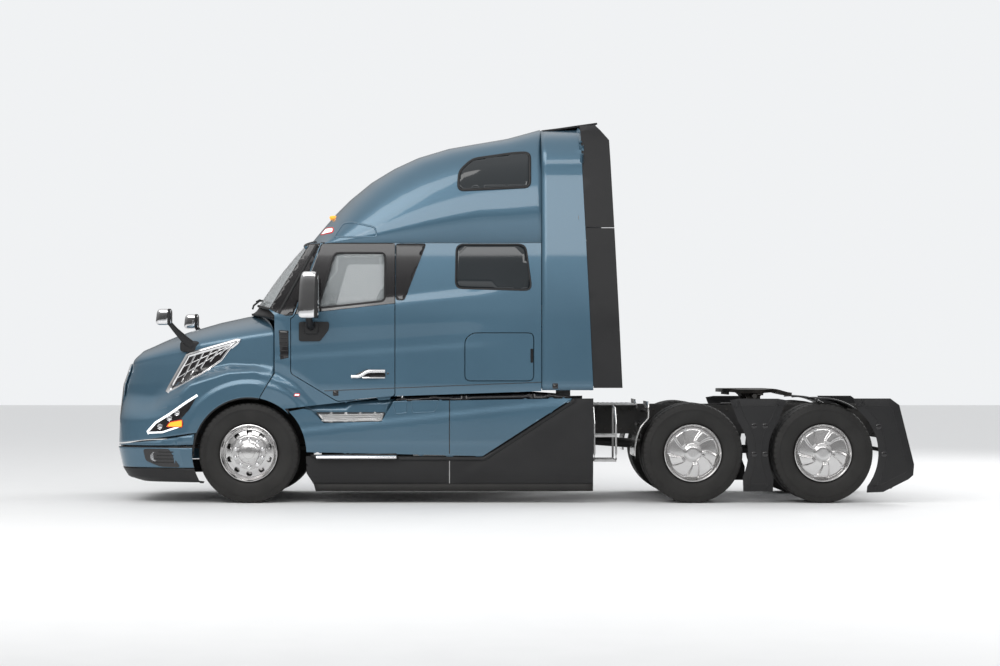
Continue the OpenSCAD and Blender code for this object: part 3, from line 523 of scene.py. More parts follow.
def areaLight(name, place, aim, size, power, tint=(1, 1, 1)):
    light = bpy.data.lights.new(name, "AREA")
    light.shape = "RECTANGLE"
    light.size, light.size_y = size
    light.energy = power
    light.color = tint
    obj = bpy.data.objects.new(name, light)
    obj.location = place
    obj.rotation_euler = (Vector(aim) - Vector(place)).to_track_quat("-Z", "Y").to_euler()
    bpy.context.scene.collection.objects.link(obj)


areaLight("keyLight", (-6, -9, 9), (-0.5, 0, 1.5), (10, 5), 550, (1.0, 0.99, 0.97))
areaLight("rearLight", (9, 7, 8), (0.5, 0, 1.8), (8, 5), 600)
areaLight("sideStrip", (0, -12, 6.5), (0, 0, 1.6), (16, 1.6), 300)


# lower bodywork: the plan is y = w (x / 0.7)^(1/8) behind the nose, blunt in front and square at the sides
noseRound = 0.7
noseHeights = np.array([0.20, 0.209, 0.255, 0.348, 0.573, 0.596, 0.85, 1.197, 1.40, 1.54])
noseProfile = np.array([-3.80, -3.803, -3.961, -4.020, -4.070, -4.063, -4.055, -4.017, -3.945,
                        -3.87]) + 4.075 + noseX
creaseX = frontX + np.array([-1.45, -0.967, -0.593, -0.207, 0.051, 0.231, 0.489])
creaseZ = axleZ + np.array([0.345, 0.361, 0.696, 0.812, 0.825, 0.793, 0.587])


def noseAt(z):
    return np.interp(z, noseHeights, noseProfile)


def archFlare(x, z):
    # a ledge round the wheel arch: the skin steps out inside a circle 15 cm wider than the arch
    return 0.016 * smooth(wellR + 0.19, wellR + 0.13, np.hypot(x - frontX, z - axleZ))


def hoodSide(x, z):
    # half width w of the hood skin before the plan curve: wide under the fender crease, narrow above it
    upper = 1.194 - 0.294 * (doorX - x) / 1.836
    above = z - np.interp(x, creaseX, creaseZ)
    softness = np.interp(x, [noseX, frontX - 0.6, frontX], [0.34, 0.16, 0.09])
    share = smooth(0.0, 1.0, above / softness + 0.12)
    lower = halfW - 0.006 + 0.0 * x
    lean = 0.07 * np.clip(z - 1.2, 0, 1) ** 1.3
    return lower + (upper - lean - lower) * share + archFlare(x, z) * (1 - share)


def hoodY(x, z):
    plan = np.clip((x - noseAt(z)) / noseRound, 1e-9, 1) ** 0.125
    return hoodSide(x, z) * plan


spineX = frontX + np.array([-1.229, -1.183, -1.025, -0.888, -0.660, -0.409, -0.125, -0.02, 0.05])
spineZ = np.array([1.495, 1.564, 1.644, 1.704, 1.773, 1.848, 1.912, 1.930, 1.94])
hoodEndX = doorX - 0.174
archX = frontX - wellR * np.cos(np.linspace(math.radians(21), math.radians(101), 56))


def hoodBottom(x):
    # seam with the bumper, then the arch circle, then the slanted rear edge
    seam = np.interp(x, [noseX, frontX - 0.54], [0.600, 0.712])
    arch = axleZ + np.sqrt(np.maximum(wellR ** 2 - (x - frontX) ** 2, 0))
    rear = np.interp(x, [frontX + 0.109, hoodEndX], [1.075, 1.315])
    return np.where(x < frontX - wellR * 0.934, seam, np.where(x < frontX + 0.109, arch, rear))


def hoodShape():
    # columns go round the plan; each rises up the skin to the shoulder,
    # then over to the spine as a superellipse
    share = np.concatenate([np.linspace(0, 0.62, 14), np.linspace(0.66, 0.97, 12)])
    sideX = np.concatenate([np.linspace(noseX + noseRound + 0.01, frontX - wellR * 0.945, 6), archX,
                            np.linspace(frontX + 0.12, hoodEndX, 8)])
    columns = []
    up = np.linspace(0, 1, 60)
    over = np.linspace(0, math.pi / 2, 26)[1:]
    for kind, value in [("nose", v) for v in share] + [("side", v) for v in sideX]:
        guessX = noseX + noseRound * value ** 8 if kind == "nose" else value
        bottom = hoodBottom(np.array(guessX))
        shoulder = np.interp(guessX, [noseX, noseX + 0.4, hoodEndX], [1.40, 1.50, 1.70])
        z = bottom + (shoulder - bottom) * up
        if kind == "nose":
            x = noseAt(z) + noseRound * value ** 8
            y = hoodSide(x, z) * value
        else:
            x = np.full_like(z, value)
            y = hoodY(x, z)
        reach = smooth(0, 1, np.clip((guessX - noseX) / (hoodEndX - noseX), 0, 1))
        endX = spineX[0] + (frontX - 0.05 - spineX[0]) * (0.35 * reach + 0.65
                                                          * (guessX - noseX) / (hoodEndX - noseX))
        endZ = np.interp(endX, spineX, spineZ)
        c, s = np.cos(over) ** (2 / 2.3), np.sin(over) ** (2 / 2.1)
        xo = x[-1] + (endX - x[-1]) * (1 - np.cos(over))
        columns.append(np.stack([np.append(x, xo), -np.append(y, y[-1] * c),
                                 np.append(z, z[-1] + (endZ - z[-1]) * s)], -1))
    points = np.stack(columns)
    flat, faces = grid(points)
    middle = flat[faces].mean(1)
    mouth = (np.abs(middle[:, 1]) < 0.60) & (middle[:, 0] < noseX + 0.25)
    mouth &= (middle[:, 2] > 0.67) & (middle[:, 2] < 1.37)
    return leftFacing((flat, faces[~mouth]))


hoodLeft = hoodShape()
hoodWhole = joined(hoodLeft, mirrored(hoodLeft))
piece("hoodShell", hoodWhole, "paint", "hood", ["hood"], thick=0.012)
print("stage: hood")


def onSide(outline, lift, step=0.03, yOf=hoodY, holes=()):
    return panel(outline, lambda x, z: yOf(x, z) + lift, holes, step)


def at(x, pairs):
    return np.array([(x + a, b) for a, b in pairs])


def ribbon(outline, width, depth, closed=True, step=0.02):
    # a raised moulding along an outline on the side: its cross-section is a flat arch of the given width
    path = resampled(rounded(outline, 0.02, 4) if closed else outline, step, closed)
    if not closed:
        path = np.vstack([path, outline[-1]])
    along = np.roll(path, -1, 0) - np.roll(path, 1, 0) if closed else np.gradient(path, axis=0)
    along /= np.maximum(np.linalg.norm(along, axis=1), 1e-9)[:, None]
    across = np.stack([-along[:, 1], along[:, 0]], 1)
    a = np.linspace(0, math.pi, 7)
    rows = []
    for offset, height in zip(np.cos(a) * width / 2, np.sin(a)):
        p = path + across * offset
        rows.append(np.stack([p[:, 0], -(depth(p[:, 0], p[:, 1]) + height * width * 0.35), p[:, 1]], 1))
    return grid(np.stack(rows, 1), closeRows=closed)


# vent in the hood side: dark mesh in a chrome frame
vent = at(frontX, [(-0.106, 1.651), (-0.638, 1.502), (-0.856, 1.123), (-0.683, 1.213), (-0.509, 1.303),
                   (-0.296, 1.445), (-0.193, 1.583)])
pair("ventMesh", onSide(vent, 0.004), "gloss", "hood")
bars = []
for k in range(1, 6):
    # slanted dividers, each from the top edge to the bottom edge of the vent
    t = k / 6
    top = vent[1] + (vent[0] - vent[1]) * t
    low = vent[2] + (vent[6] - vent[2]) * (0.08 + 0.9 * t)
    bars.append(ribbon(np.array([low, top]), 0.016, lambda x, z: hoodY(x, z) + 0.004, closed=False))
for t in (0.33, 0.66):
    a = vent[2] + (vent[1] - vent[2]) * t
    b = vent[6] + (vent[0] - vent[6]) * t
    bars.append(ribbon(np.array([a, b]), 0.010, lambda x, z: hoodY(x, z) + 0.004, closed=False))
pair("ventBars", joined(*bars), "chrome", "hood")
pair("ventFrame", joined(ribbon(vent[[6, 0, 1, 2]], 0.052, lambda x, z: hoodY(x, z) + 0.002, closed=False),
                         ribbon(vent, 0.024, lambda x, z: hoodY(x, z) + 0.002)), "chrome", "hood")

# head lamp: a slim dark crescent with a white outline and an amber turn lamp
lamp = at(frontX, [(-0.517, 1.095), (-0.62, 1.03), (-0.80, 0.905), (-0.95, 0.815), (-1.035, 0.725),
                   (-1.02, 0.700), (-0.88, 0.706), (-0.70, 0.765), (-0.66, 0.80), (-0.68, 0.86),
                   (-0.60, 0.95)])
pair("lampBed", onSide(lamp, 0.003, 0.02), "gloss", "hood", ["headlamps"])
pair("lampOutline", joined(ribbon(lamp[:6], 0.024, lambda x, z: hoodY(x, z) + 0.004, closed=False),
                           ribbon(lamp[5:8] + [0, 0.012], 0.018, lambda x, z: hoodY(x, z) + 0.004,
                                  closed=False)), "led", "hood")
amber = at(frontX, [(-0.835, 0.775), (-0.67, 0.772), (-0.672, 0.845), (-0.80, 0.822)])
pair("turnLamp", onSide(amber, 0.010, 0.02), "amber", "hood")
pair("turnLampRim", ribbon(amber, 0.010, lambda x, z: hoodY(x, z) + 0.008), "red", "hood")
beams = []
for x, z in ((-0.90, 0.775), (-0.80, 0.860), (-0.72, 0.915)):
    y = hoodY(np.array(frontX + x), np.array(z))
    beams.append(lathe([(0.001, 0.0), (0.018, 0.002), (0.026, 0.010), (0.030, 0.012), (0.030, 0.0)],
                       (frontX + x, -y - 0.014, z), steps=28))
pair("lampLenses", joined(*beams), "chrome", "hood")

# grille: chrome surround, dark mesh set back, level bars
zs = np.linspace(0.68, 1.36, 30)
grilleRows = np.linspace(-0.60, 0.60, 61)
yy, zz = np.meshgrid(grilleRows, zs)
xx = noseAt(zz) + noseRound * np.abs(yy) ** 8 + 0.035
piece("grilleMesh", grid(np.stack([xx, yy, zz], -1)), "plastic", "hood", ["grille"], thick=0.006)
bars = []
for z in np.linspace(0.73, 1.32, 9):
    y = np.linspace(-0.595, 0.595, 41)
    x = noseAt(z) + noseRound * np.abs(y) ** 8 + 0.012
    bars.append(tube(np.stack([x, y, np.full_like(y, z)], -1), 0.013, 10, squash=1.5))
for y in np.linspace(-0.5, 0.5, 9):
    z = np.linspace(0.69, 1.36, 24)
    bars.append(tube(np.stack([noseAt(z) + noseRound * abs(y) ** 8 + 0.022, np.full_like(z, y), z], -1),
                     0.008, 8, up=(0, 1, 0)))
piece("grilleBars", joined(*bars), "gloss", "hood")
loop = rounded(np.array([(-0.61, 0.665), (0.61, 0.665), (0.61, 1.385), (-0.61, 1.385)]), 0.09, 8)
loop = resampled(loop, 0.03)
x = noseAt(loop[:, 1]) + noseRound * np.abs(loop[:, 0]) ** 8 - 0.002
frameLoop = np.stack([x, loop[:, 0], loop[:, 1]], -1)
a = np.linspace(0, 2 * math.pi, 14, endpoint=False)
along = np.roll(frameLoop, -1, 0) - np.roll(frameLoop, 1, 0)
along /= np.linalg.norm(along, axis=1)[:, None]
side = np.cross(along, [1.0, 0.0, 0.0])
side /= np.linalg.norm(side, axis=1)[:, None]
outward = 0.030 * np.cos(a)[None, :, None] * side[:, None]
forward = 0.016 * np.sin(a)[None, :, None] * np.array([1.0, 0, 0])
ring = frameLoop[:, None] + outward + forward
piece("grilleFrame", grid(ring, closeRows=True, closeCols=True), "chrome", "hood")


# bumper: the same plan under the hood, black below the split
def bumperShape(z0, z1, rows, inset=0.0):
    z = np.linspace(z0, z1, rows)
    share = np.concatenate([np.linspace(0, 0.62, 14), np.linspace(0.66, 0.97, 12)])
    columns = []
    for v in share:
        x = noseAt(z) + noseRound * v ** 8
        columns.append(np.stack([x, -(hoodSide(x, z) - inset) * v, z], -1))
    archEdge = frontX - np.sqrt(np.maximum(wellR ** 2 - (z - axleZ) ** 2, 0)) - 0.006
    for f in np.linspace(0.02, 1, 36):
        x = noseAt(z) + noseRound + (archEdge - noseAt(z) - noseRound) * f
        columns.append(np.stack([x, -(hoodY(x, z) - inset), z], -1))
    half = leftFacing(grid(np.stack(columns)))
    return joined(half, mirrored(half))


upperBumper = bumperShape(0.36, 0.560, 16)
strip = moved(bumperShape(0.556, 0.574, 4, 0.012), (0.024, 0, 0))
piece("bumperSkin", upperBumper, "paint", "chassis", ["bumper"], thick=0.012)
piece("bumperSeam", strip, "gloss", "chassis", thick=0.010)
piece("bumperValance", bumperShape(0.212, 0.352, 12, 0.004), "plastic", "chassis", ["bumper_valance"],
      thick=0.012)
fog = rounded(at(frontX, [(-1.085, 0.548), (-0.811, 0.552), (-0.691, 0.363), (-0.899, 0.368),
                          (-1.058, 0.429)]), 0.03)
pair("bumperShoulder", onSide(at(frontX, [(-1.37, 0.585), (-0.9, 0.585), (-0.562, 0.592), (-0.548, 0.700),
                                          (-0.9, 0.640), (-1.37, 0.592)]), 0.0), "paint", thick=0.012)
pair("fogPocket", onSide(fog, 0.006, 0.02), "gloss")
pair("fogSlats",
     joined(*[ribbon(np.array([fog.min(0) + [0.1 + 0.02 * k, 0.05 + 0.035 * k],
                               [fog[:, 0].max() - 0.06, fog[:, 1].min() + 0.05 + 0.035 * k]]), 0.012,
                     lambda x, z: hoodY(x, z) + 0.006, closed=False) for k in range(4)]), "plastic")
fogX, fogZ = frontX - 0.96, 0.47
pair("fogLamp", lathe([(0.001, 0.014), (0.030, 0.012), (0.042, 0.006), (0.046, 0.0)],
                      (fogX, -float(hoodY(np.array(fogX), np.array(fogZ))) - 0.014, fogZ), steps=32), "lens")
lipPath = np.linspace(math.radians(44), math.radians(183), 60)
lipX, lipZ = frontX + (wellR - 0.003) * np.cos(lipPath), axleZ + (wellR - 0.003) * np.sin(lipPath)
lipZone = lipX < frontX + 0.12
pair("archLip", tube(np.stack([lipX, -(hoodY(np.minimum(lipX, frontX + 0.3), lipZ) - 0.012), lipZ],
                              -1)[lipZone], 0.013, 8), "plastic", "hood")
print("stage: bumper and grille")

# cab: half width by height, with a belt crease and a lower crease pressed into the side
widthZ = np.linspace(-1, 5, 1201)
widthY = np.interp(widthZ, [0.0, 1.90, 2.10, 2.30, 2.50, roofFoot, 3.20, 3.50, 3.72, 3.84, 3.95],
                   np.array([1.20, 1.20, 1.187, 1.169, 1.148, 1.130, 1.065, 1.030, 0.97, 0.90, 0.85])
                   * halfW / 1.2)
widthY[50:-50] = np.convolve(widthY, np.ones(31) / 31, "same")[50:-50]


def cabY(x, z):
    belt = 1.921 + (x - doorX - 0.277) * 0.110
    lower = 1.436 + (x - doorX) * 0.067
    step = 0.010 * smooth(0, 0.10, z - belt) * smooth(seamX - 0.2, seamX - 0.7, x)
    press = 0.008 * smooth(0, 0.09, z - lower) * smooth(0.36, 0.12, z - lower) * smooth(seamX - 0.25,
            seamX - 0.8, x)
    tuck = 0.020 * smooth(1.20, 0.98, z)
    away = np.hypot(x - frontX, z - axleZ) - wellR
    ledge = 0.014 * smooth(0.22, 0.28, away) * smooth(0.40, 0.29, away) * smooth(1.9, 1.4, z)
    pillarDip = 0.014 * smooth(0.22, 0.28, away) * smooth(doorX - 0.02, doorX - 0.17, x) * smooth(1.9, 1.7,
            z)
    return np.interp(z, widthZ, widthY) - step - press - tuck - 0.002 + archFlare(x, z) - ledge - pillarDip


def shrunk(outline, by):
    # the closed outline moved inward (or outward when negative) along its corner bisectors
    outline = np.asarray(outline, float)
    before, after = outline - np.roll(outline, 1, 0), np.roll(outline, -1, 0) - outline
    area = np.sum(outline[:, 0] * np.roll(outline[:, 1], -1) - outline[:, 1] * np.roll(outline[:, 0], -1))
    unit = lambda v: v / np.linalg.norm(v, axis=1)[:, None]
    n1, n2 = [np.stack([-u[:, 1], u[:, 0]], 1) * np.sign(area) for u in (unit(before), unit(after))]
    return outline + by * (n1 + n2) / np.maximum(1 + (n1 * n2).sum(1), 0.4)[:, None]


doorLine = np.vstack([at(doorX, [(0, 1.315), (0, 1.875), (0.033, 1.890), (0.310, 2.636)]),
                      at(doorEndX, [(0, 2.636), (0, 1.085)]), at(doorX, [(0.471, 1.031)])])
archAngles = np.radians(np.linspace(44, 78, 10))
archPart = np.stack([frontX + wellR * np.cos(archAngles), axleZ + wellR * np.sin(archAngles)], 1)
cabLine = np.vstack([at(doorX, [(-0.164, 1.905), (-0.221, 1.965), (0.189, 2.640)]),
                     at(seamX, [(-0.003, 2.640), (-0.003, 1.136)]), at(doorEndX, [(0, 1.085)]),
                     at(doorX, [(-0.060, 0.957)]), archPart, at(doorX, [(-0.307, 1.075), (-0.164, 1.312)])])
luggageLine = rounded(at(seamX, [(-0.778, 1.238), (-0.078, 1.238), (-0.078, 1.727), (-0.70, 1.727),
                                 (-0.778, 1.66)]), 0.06)
sleeperWindow = rounded(at(seamX, [(-0.862, 2.625), (-0.871, 2.180), (-0.10, 2.158),
                                   (-0.162, 2.625)][::-1]), 0.07)
doorHole = rounded(shrunk(doorLine, -0.004), 0.03)
doorSkin = rounded(shrunk(doorLine, 0.004), 0.03)
pair("cabSide", panel(cabLine, cabY, [doorHole, shrunk(luggageLine, -0.003), sleeperWindow], 0.028),
     "paint", nodes=["cab_sides"], thick=0.05, bevel=0.004)

# the door: painted below the belt, gloss black round the glass above it
beltAt = lambda x: 1.937 + (x - doorX - 0.277) * 0.110
lowerDoor = np.vstack([doorSkin[doorSkin[:, 1] < beltAt(doorSkin[:, 0])]])
angle = np.arctan2(lowerDoor[:, 1] - 1.5, lowerDoor[:, 0] - (doorX + doorEndX) / 2)
lowerDoor = lowerDoor[np.argsort(angle)]
rearTop = np.array([doorEndX - 0.004, beltAt(doorEndX)])
frontTop = np.array([doorX + 0.052, beltAt(doorX + 0.052)])
lowerDoor = np.vstack([lowerDoor, [rearTop], [frontTop]])
angle = np.arctan2(lowerDoor[:, 1] - 1.5, lowerDoor[:, 0] - (doorX + doorEndX) / 2)
lowerDoor = lowerDoor[np.argsort(angle)]
upperDoor = np.array([rearTop + [0, 0.004], (doorEndX - 0.004, 2.632), (doorX + 0.316, 2.632),
                      frontTop + [0.0, 0.004]])
glassLine = rounded(np.vstack([at(doorX, [(0.277, 1.975), (0.440, 2.540)]),
                               at(doorEndX, [(-0.100, 2.540), (-0.100, 2.050)])]), 0.05)
pair("doorSkin", panel(lowerDoor, cabY, (), 0.028), "paint", "door_{}", ["door_{}"], thick=0.048,
     bevel=0.004)
pair("doorSurround", panel(upperDoor, cabY, [glassLine], 0.028), "gloss", "door_{}", thick=0.046,
     bevel=0.003)
pair("doorGlass", panel(shrunk(glassLine, -0.006), lambda x, z: cabY(x, z) - 0.020, (), 0.08), "glass",
     "door_{}", ["door_glass_{}"], thick=0.005)
pair("glassSeal", ribbon(glassLine, 0.022, lambda x, z: cabY(x, z) - 0.003), "plastic", "door_{}")
innerDoor = shrunk(lowerDoor, 0.05)
pair("doorCard", panel(innerDoor, lambda x, z: cabY(x, z) - 0.046, (), 0.08), "trim", "door_{}", thick=0.012)

# luggage door with its latch
pair("luggageDoor", panel(shrunk(luggageLine, 0.005), cabY, (), 0.028), "paint", "luggage_door_{}",
     ["luggage_door_{}"], thick=0.03, bevel=0.003)
latch = rounded(at(seamX, [(-0.112, 1.424), (-0.086, 1.424), (-0.086, 1.566), (-0.112, 1.566)]), 0.01)
pair("luggageLatch", panel(latch, lambda x, z: cabY(x, z) + 0.006, (), 0.03), "gloss", "luggage_door_{}",
     thick=0.012, bevel=0.003)

# dark glass panels of the sleeper, each with a seal
roofWindow = rounded(at(seamX, [(-0.846, 3.180), (-0.114, 3.215), (-0.114, 3.575), (-0.28, 3.570),
                                (-0.700, 3.508), (-0.835, 3.380)]), 0.06)
pair("sleeperGlass", panel(shrunk(sleeperWindow, -0.004), lambda x, z: cabY(x, z) - 0.006, (), 0.08),
     "darkGlass", nodes=["side_windows"], thick=0.006)
pair("sleeperSeal", ribbon(sleeperWindow, 0.020, lambda x, z: cabY(x, z) - 0.002), "plastic")

# black corner panel behind the door and the pillar strip ahead of it
corner = rounded(at(doorEndX, [(0.006, 2.634), (0.006, 2.060), (0.095, 2.055), (0.317, 2.634)][::-1]), 0.03)
pair("cornerPanel", panel(corner, lambda x, z: cabY(x, z) + 0.007, (), 0.028), "gloss", thick=0.006)
pillar = at(doorX, [(-0.170, 1.945), (-0.218, 1.968), (0.187, 2.637), (0.296, 2.637), (0.022, 1.905),
                    (-0.05, 1.90)])
pair("pillarPanel", panel(pillar, lambda x, z: cabY(x, z) + 0.007, (), 0.028), "gloss", thick=0.006)
pair("pillarTrim", ribbon(at(doorX, [(-0.120, 1.925), (0.262, 2.625)]), 0.030, lambda x, z: cabY(x, z)
                          + 0.008, closed=False), "plastic")
recess = at(doorX, [(-0.120, 1.753), (-0.022, 1.748), (-0.022, 1.475), (-0.104, 1.457)])
pair("sideVent", joined(panel(recess, lambda x, z: cabY(x, z) + 0.005, (), 0.028)), "gloss", thick=0.004)
pair("sideVentSlats",
     joined(*[ribbon(at(doorX, [(-0.112, z), (-0.030, z)]), 0.012, lambda x, z: cabY(x, z) + 0.006,
                     closed=False) for z in np.linspace(1.50, 1.72, 6)]), "plastic")
print("stage: cab sides and doors")


# roof: T(x) is the silhouette; each section is a superellipse that squares up towards the rear
roofX = doorX + np.array([0.106, 0.245, 0.383, 0.543, 0.771, 1.000, 1.252, 1.573, 1.915, 2.190, 2.373,
                          2.545])
roofZ = np.array([2.642, 2.813, 2.973, 3.133, 3.317, 3.454, 3.568, 3.660, 3.716, 3.763, 3.813, 3.861])


def roofShape():
    theta = np.linspace(0, math.pi / 2, 44)
    u = np.linspace(0, 1, 60) ** 1.15
    rows = []
    for t in theta:
        # sideways share first, so the front edge can curve back towards the corners
        n = 2.6 + 3.4 * np.clip(u * 1.4, 0, 1)
        side = np.cos(t) ** (2 / n)
        frontEdge = roofX[0] + 0.235 * side ** 2.4
        x = frontEdge + (seamX - frontEdge) * u
        top = np.interp(x - 0.235 * side ** 2.4 * (1 - u), roofX, roofZ)
        z = roofFoot + (top - roofFoot) * np.sin(t) ** (2 / n)
        y = side * np.minimum(np.interp(z, widthZ, widthY), 1.13)
        rows.append(np.stack([x, -y, z], -1))
    return grid(np.stack(rows))


roofLeft = leftFacing(roofShape())
piece("roofShell", joined(roofLeft, mirrored(roofLeft)), "paint", "chassis", ["roof"], thick=0.03)


def surfaceY(shape):
    # half width of a finished left-hand surface at x and z, found by a ray from the side
    tree = BVHTree.FromPolygons([Vector(p) for p in shape[0]], [list(map(int, f)) for f in shape[1]])

    def depth(x, z):
        out = [tree.ray_cast(Vector((a, -3, b)), Vector((0, 1, 0)))[0] for a,
               b in zip(np.ravel(x), np.ravel(z))]
        return np.array([-h.y if h else np.nan for h in out]).reshape(np.shape(x))
    return depth


roofY = surfaceY(roofLeft)


pair("roofGlass", panel(roofWindow, lambda x, z: roofY(x, z) + 0.008, (), 0.035), "darkGlass", thick=0.010)
pair("roofSeal", ribbon(roofWindow, 0.026, lambda x, z: roofY(x, z) + 0.005), "plastic")
pair("roofSeam",
     tube(np.array([(x, -cabY(np.array(x), np.array(2.642)) + 0.004, 2.642) for x in np.linspace(doorX
        + 0.30, seamX, 30)]), 0.006, 6), "gloss")


# rear section of the sleeper: the same rounded section carried to the slanted back wall
def backShape():
    zs = np.concatenate([np.linspace(1.145, 2.60, 24), np.linspace(2.66, 3.35, 10)])
    theta = np.linspace(0.0, math.pi / 2, 34)
    sideTop = 3.35
    rows = []
    for x in np.linspace(seamX + 0.004, seamX + 0.524, 10):
        top = 3.861 + (x - seamX) * 0.038
        cz = sideTop + (top - sideTop) * np.sin(theta[1:]) ** (2 / 3.2)
        cy = np.interp(sideTop, widthZ, widthY) * np.cos(theta[1:]) ** (2 / 3.2)
        sideYs = cabY(np.full_like(zs, x), zs)
        rows.append((x, np.append(sideYs, cy), np.append(zs, cz)))
    points = []
    for x, y, z in rows:
        limit = seamX + 0.524 - (z - 1.154) * 0.047
        points.append(np.stack([np.minimum(np.full_like(z, x), limit), -y, z], -1))
    wall = points[-1].copy()
    inner = [wall * [1, s, 1] for s in (0.98, 0.8, 0.5, 0.2, 0.0)]
    return grid(np.stack(points + inner))


backLeft = leftFacing(backShape())
piece("sleeperRear", joined(backLeft, mirrored(backLeft)), "paint", "chassis", ["sleeper_back"], thick=0.03)

# side extenders and the spoiler
extenderLow = at(seamX, [(0.528, 1.168), (0.820, 1.168), (0.743, 2.793), (0.451, 2.793)])
extenderTop = at(seamX, [(0.450, 2.803), (0.742, 2.803), (0.697, 3.70), (0.560, 3.863), (0.401, 3.863)])
extY = lambda x, z: np.interp(z, [1.1, 1.9, roofFoot, 3.50, 3.80, 3.87], [1.195, 1.195, 1.127, 1.03, 0.95,
        0.85])
pair("extenderLow", panel(extenderLow, extY, (), 0.08), "plastic", nodes=["side_extenders"], thick=0.028,
     bevel=0.004)
pair("extenderTop", panel(extenderTop, extY, (), 0.08), "plastic", nodes=["side_extenders"], thick=0.028,
     bevel=0.004)
y = np.linspace(-0.70, 0.70, 29)
spoilerRows = []
for x, z, grow in ((0.02, 3.866, 0.9), (0.20, 3.885, 0.96), (0.40, 3.912, 1.0), (0.590, 3.938, 1.0)):
    spoilerRows.append(np.stack([np.full_like(y, seamX + x), y * grow, z - 0.03 * np.abs(y / 0.7) ** 3], -1))
piece("roofSpoiler", grid(np.stack(spoilerRows)), "plastic", "chassis", ["roof_spoiler"], thick=0.02,
      bevel=0.004)
print("stage: roof and sleeper")


# windscreen: base curve to header curve, each an arc in plan
def screenShape(inset=0.0, v0=0.0, v1=1.0):
    s = np.linspace(-1, 1, 41)
    v = np.linspace(v0, v1, 16)[:, None]
    baseX = doorX - 0.424 + 0.215 * np.abs(s) ** 2.2
    headX = doorX + 0.066 + 0.180 * np.abs(s) ** 2.2
    lean = v + 0.05 * np.sin(math.pi * v)
    x = baseX + (headX - baseX) * v
    y = s * (1.075 + 0.03 * (1 - v))
    z = 2.026 - 0.06 * np.abs(s) ** 2 + (2.650 - 2.026 + 0.06 * np.abs(s) ** 2) * lean
    z = np.minimum(z, 2.66)
    return np.stack([x + inset, y, z], -1)


piece("windscreenGlass", grid(screenShape(0.004)), "glass", "chassis", ["windscreen"], thick=0.006)
edge = screenShape()
loop = np.vstack([edge[0], edge[1:-1, -1], edge[-1][::-1], edge[1:-1, 0][::-1]])
piece("windscreenSeal", tube(np.vstack([loop, loop[:1]]), 0.014, 8), "plastic", "chassis")

# cowl: black tray between hood and glass, with two wipers
s = np.linspace(-1, 1, 41)[None, :]
v = np.linspace(0, 1, 8)[:, None]
cowlX = doorX - 0.50 + 0.30 * np.abs(s) ** 2.2 + 0.085 * v
cowlZ = 1.945 - 0.05 * np.abs(s) ** 2 + 0.075 * v ** 2
piece("cowlTray", grid(np.stack([cowlX, s * 1.13 + 0 * v, cowlZ], -1)), "plastic", "chassis", ["cowl"],
      thick=0.02)
wipers = []
for sign in (-1, 0.12):
    y0 = 0.10 + sign * 0.72
    wipers.append(tube([(doorX - 0.44, y0, 1.985), (doorX - 0.435, y0 + 0.05, 2.02),
                        (doorX - 0.40, y0 + 0.30, 2.075), (doorX - 0.385, y0 + 0.52, 2.085)], 0.010, 8))
    wipers.append(tube([(doorX - 0.405, y0 + 0.02, 2.06), (doorX - 0.395, y0 + 0.30, 2.088),
                        (doorX - 0.39, y0 + 0.56, 2.08)], 0.007, 6))
piece("wipers", joined(*wipers), "plastic", "chassis")
print("stage: windscreen and cowl")


# side fairing: blue above, with a scooped step notch and a low crease
fairY = lambda x, z: halfW - 0.004 - 0.014 * smooth(0, 0.09,
                                                    z - (0.731 + (x - doorX - 0.45)
                                                         * 0.108)) - 0.02 * smooth(0.62, 0.478, z)
fairArc = np.radians(np.linspace(1, 46, 12))
fairArch = np.stack([frontX + (wellR + 0.02) * np.cos(fairArc), axleZ + (wellR + 0.02) * np.sin(fairArc)], 1)
notch = np.vstack([at(doorX, [(0.130, 0.958), (0.210, 0.940), (0.335, 0.812), (0.918, 0.828)]),
                   at(doorEndX, [(-0.013, 1.030)])])
fairing = np.vstack([fairArch, notch, at(seamX, [(0.308, 1.062), (-0.596, 0.478)])])
fairing = fairing[np.append(True, np.linalg.norm(np.diff(fairing, axis=0), axis=1) > 1e-4)]
gasketX = doorEndX + 0.552
pair("sideFairing", panel(fairing, fairY, (), 0.028), "paint", nodes=["side_fairings"], thick=0.02,
     bevel=0.004)
pair("fairingGap", ribbon(np.array([(gasketX, 0.50), (gasketX, 1.05)]), 0.010, lambda x, z: fairY(x, z)
                          - 0.001, closed=False), "gloss")
bedOutline = np.vstack([at(doorX, [(0.12, 1.02), (0.20, 0.79)]),
                        at(doorEndX, [(-0.10, 0.79), (0.00, 1.06)]), at(doorX, [(0.55, 1.02)])])
pair("notchBed", panel(bedOutline, lambda x, z: fairY(x, z) - 0.09, (), 0.08), "paint", thick=0.008)
tread = rounded(at(doorX, [(0.240, 0.925), (0.335, 0.815), (0.918, 0.830), (0.960, 0.924)]), 0.02)
pair("stepPlate", panel(shrunk(tread, 0.004), lambda x, z: fairY(x, z) - 0.075 + 0.06 * smooth(0.93, 0.82,
        z), (), 0.03), "deck", nodes=["cab_steps"], thick=0.006)
pair("stepGrip",
     joined(*[ribbon(at(doorX, [(0.31 + 0.01 * k, 0.835 + 0.02 * k), (0.93, 0.845 + 0.02 * k)]), 0.010,
                     lambda x, z: fairY(x, z) - 0.072 + 0.06 * smooth(0.93, 0.82, z), closed=False)
              for k in range(4)]), "satin")
barX = np.linspace(doorX + 0.261, doorX + 1.071, 30)
pair("stepBar", tube(np.stack([barX, np.full_like(barX, -halfW - 0.004), np.full_like(barX, 0.466)], -1),
                     0.020, 10, squash=1.0), "chrome")
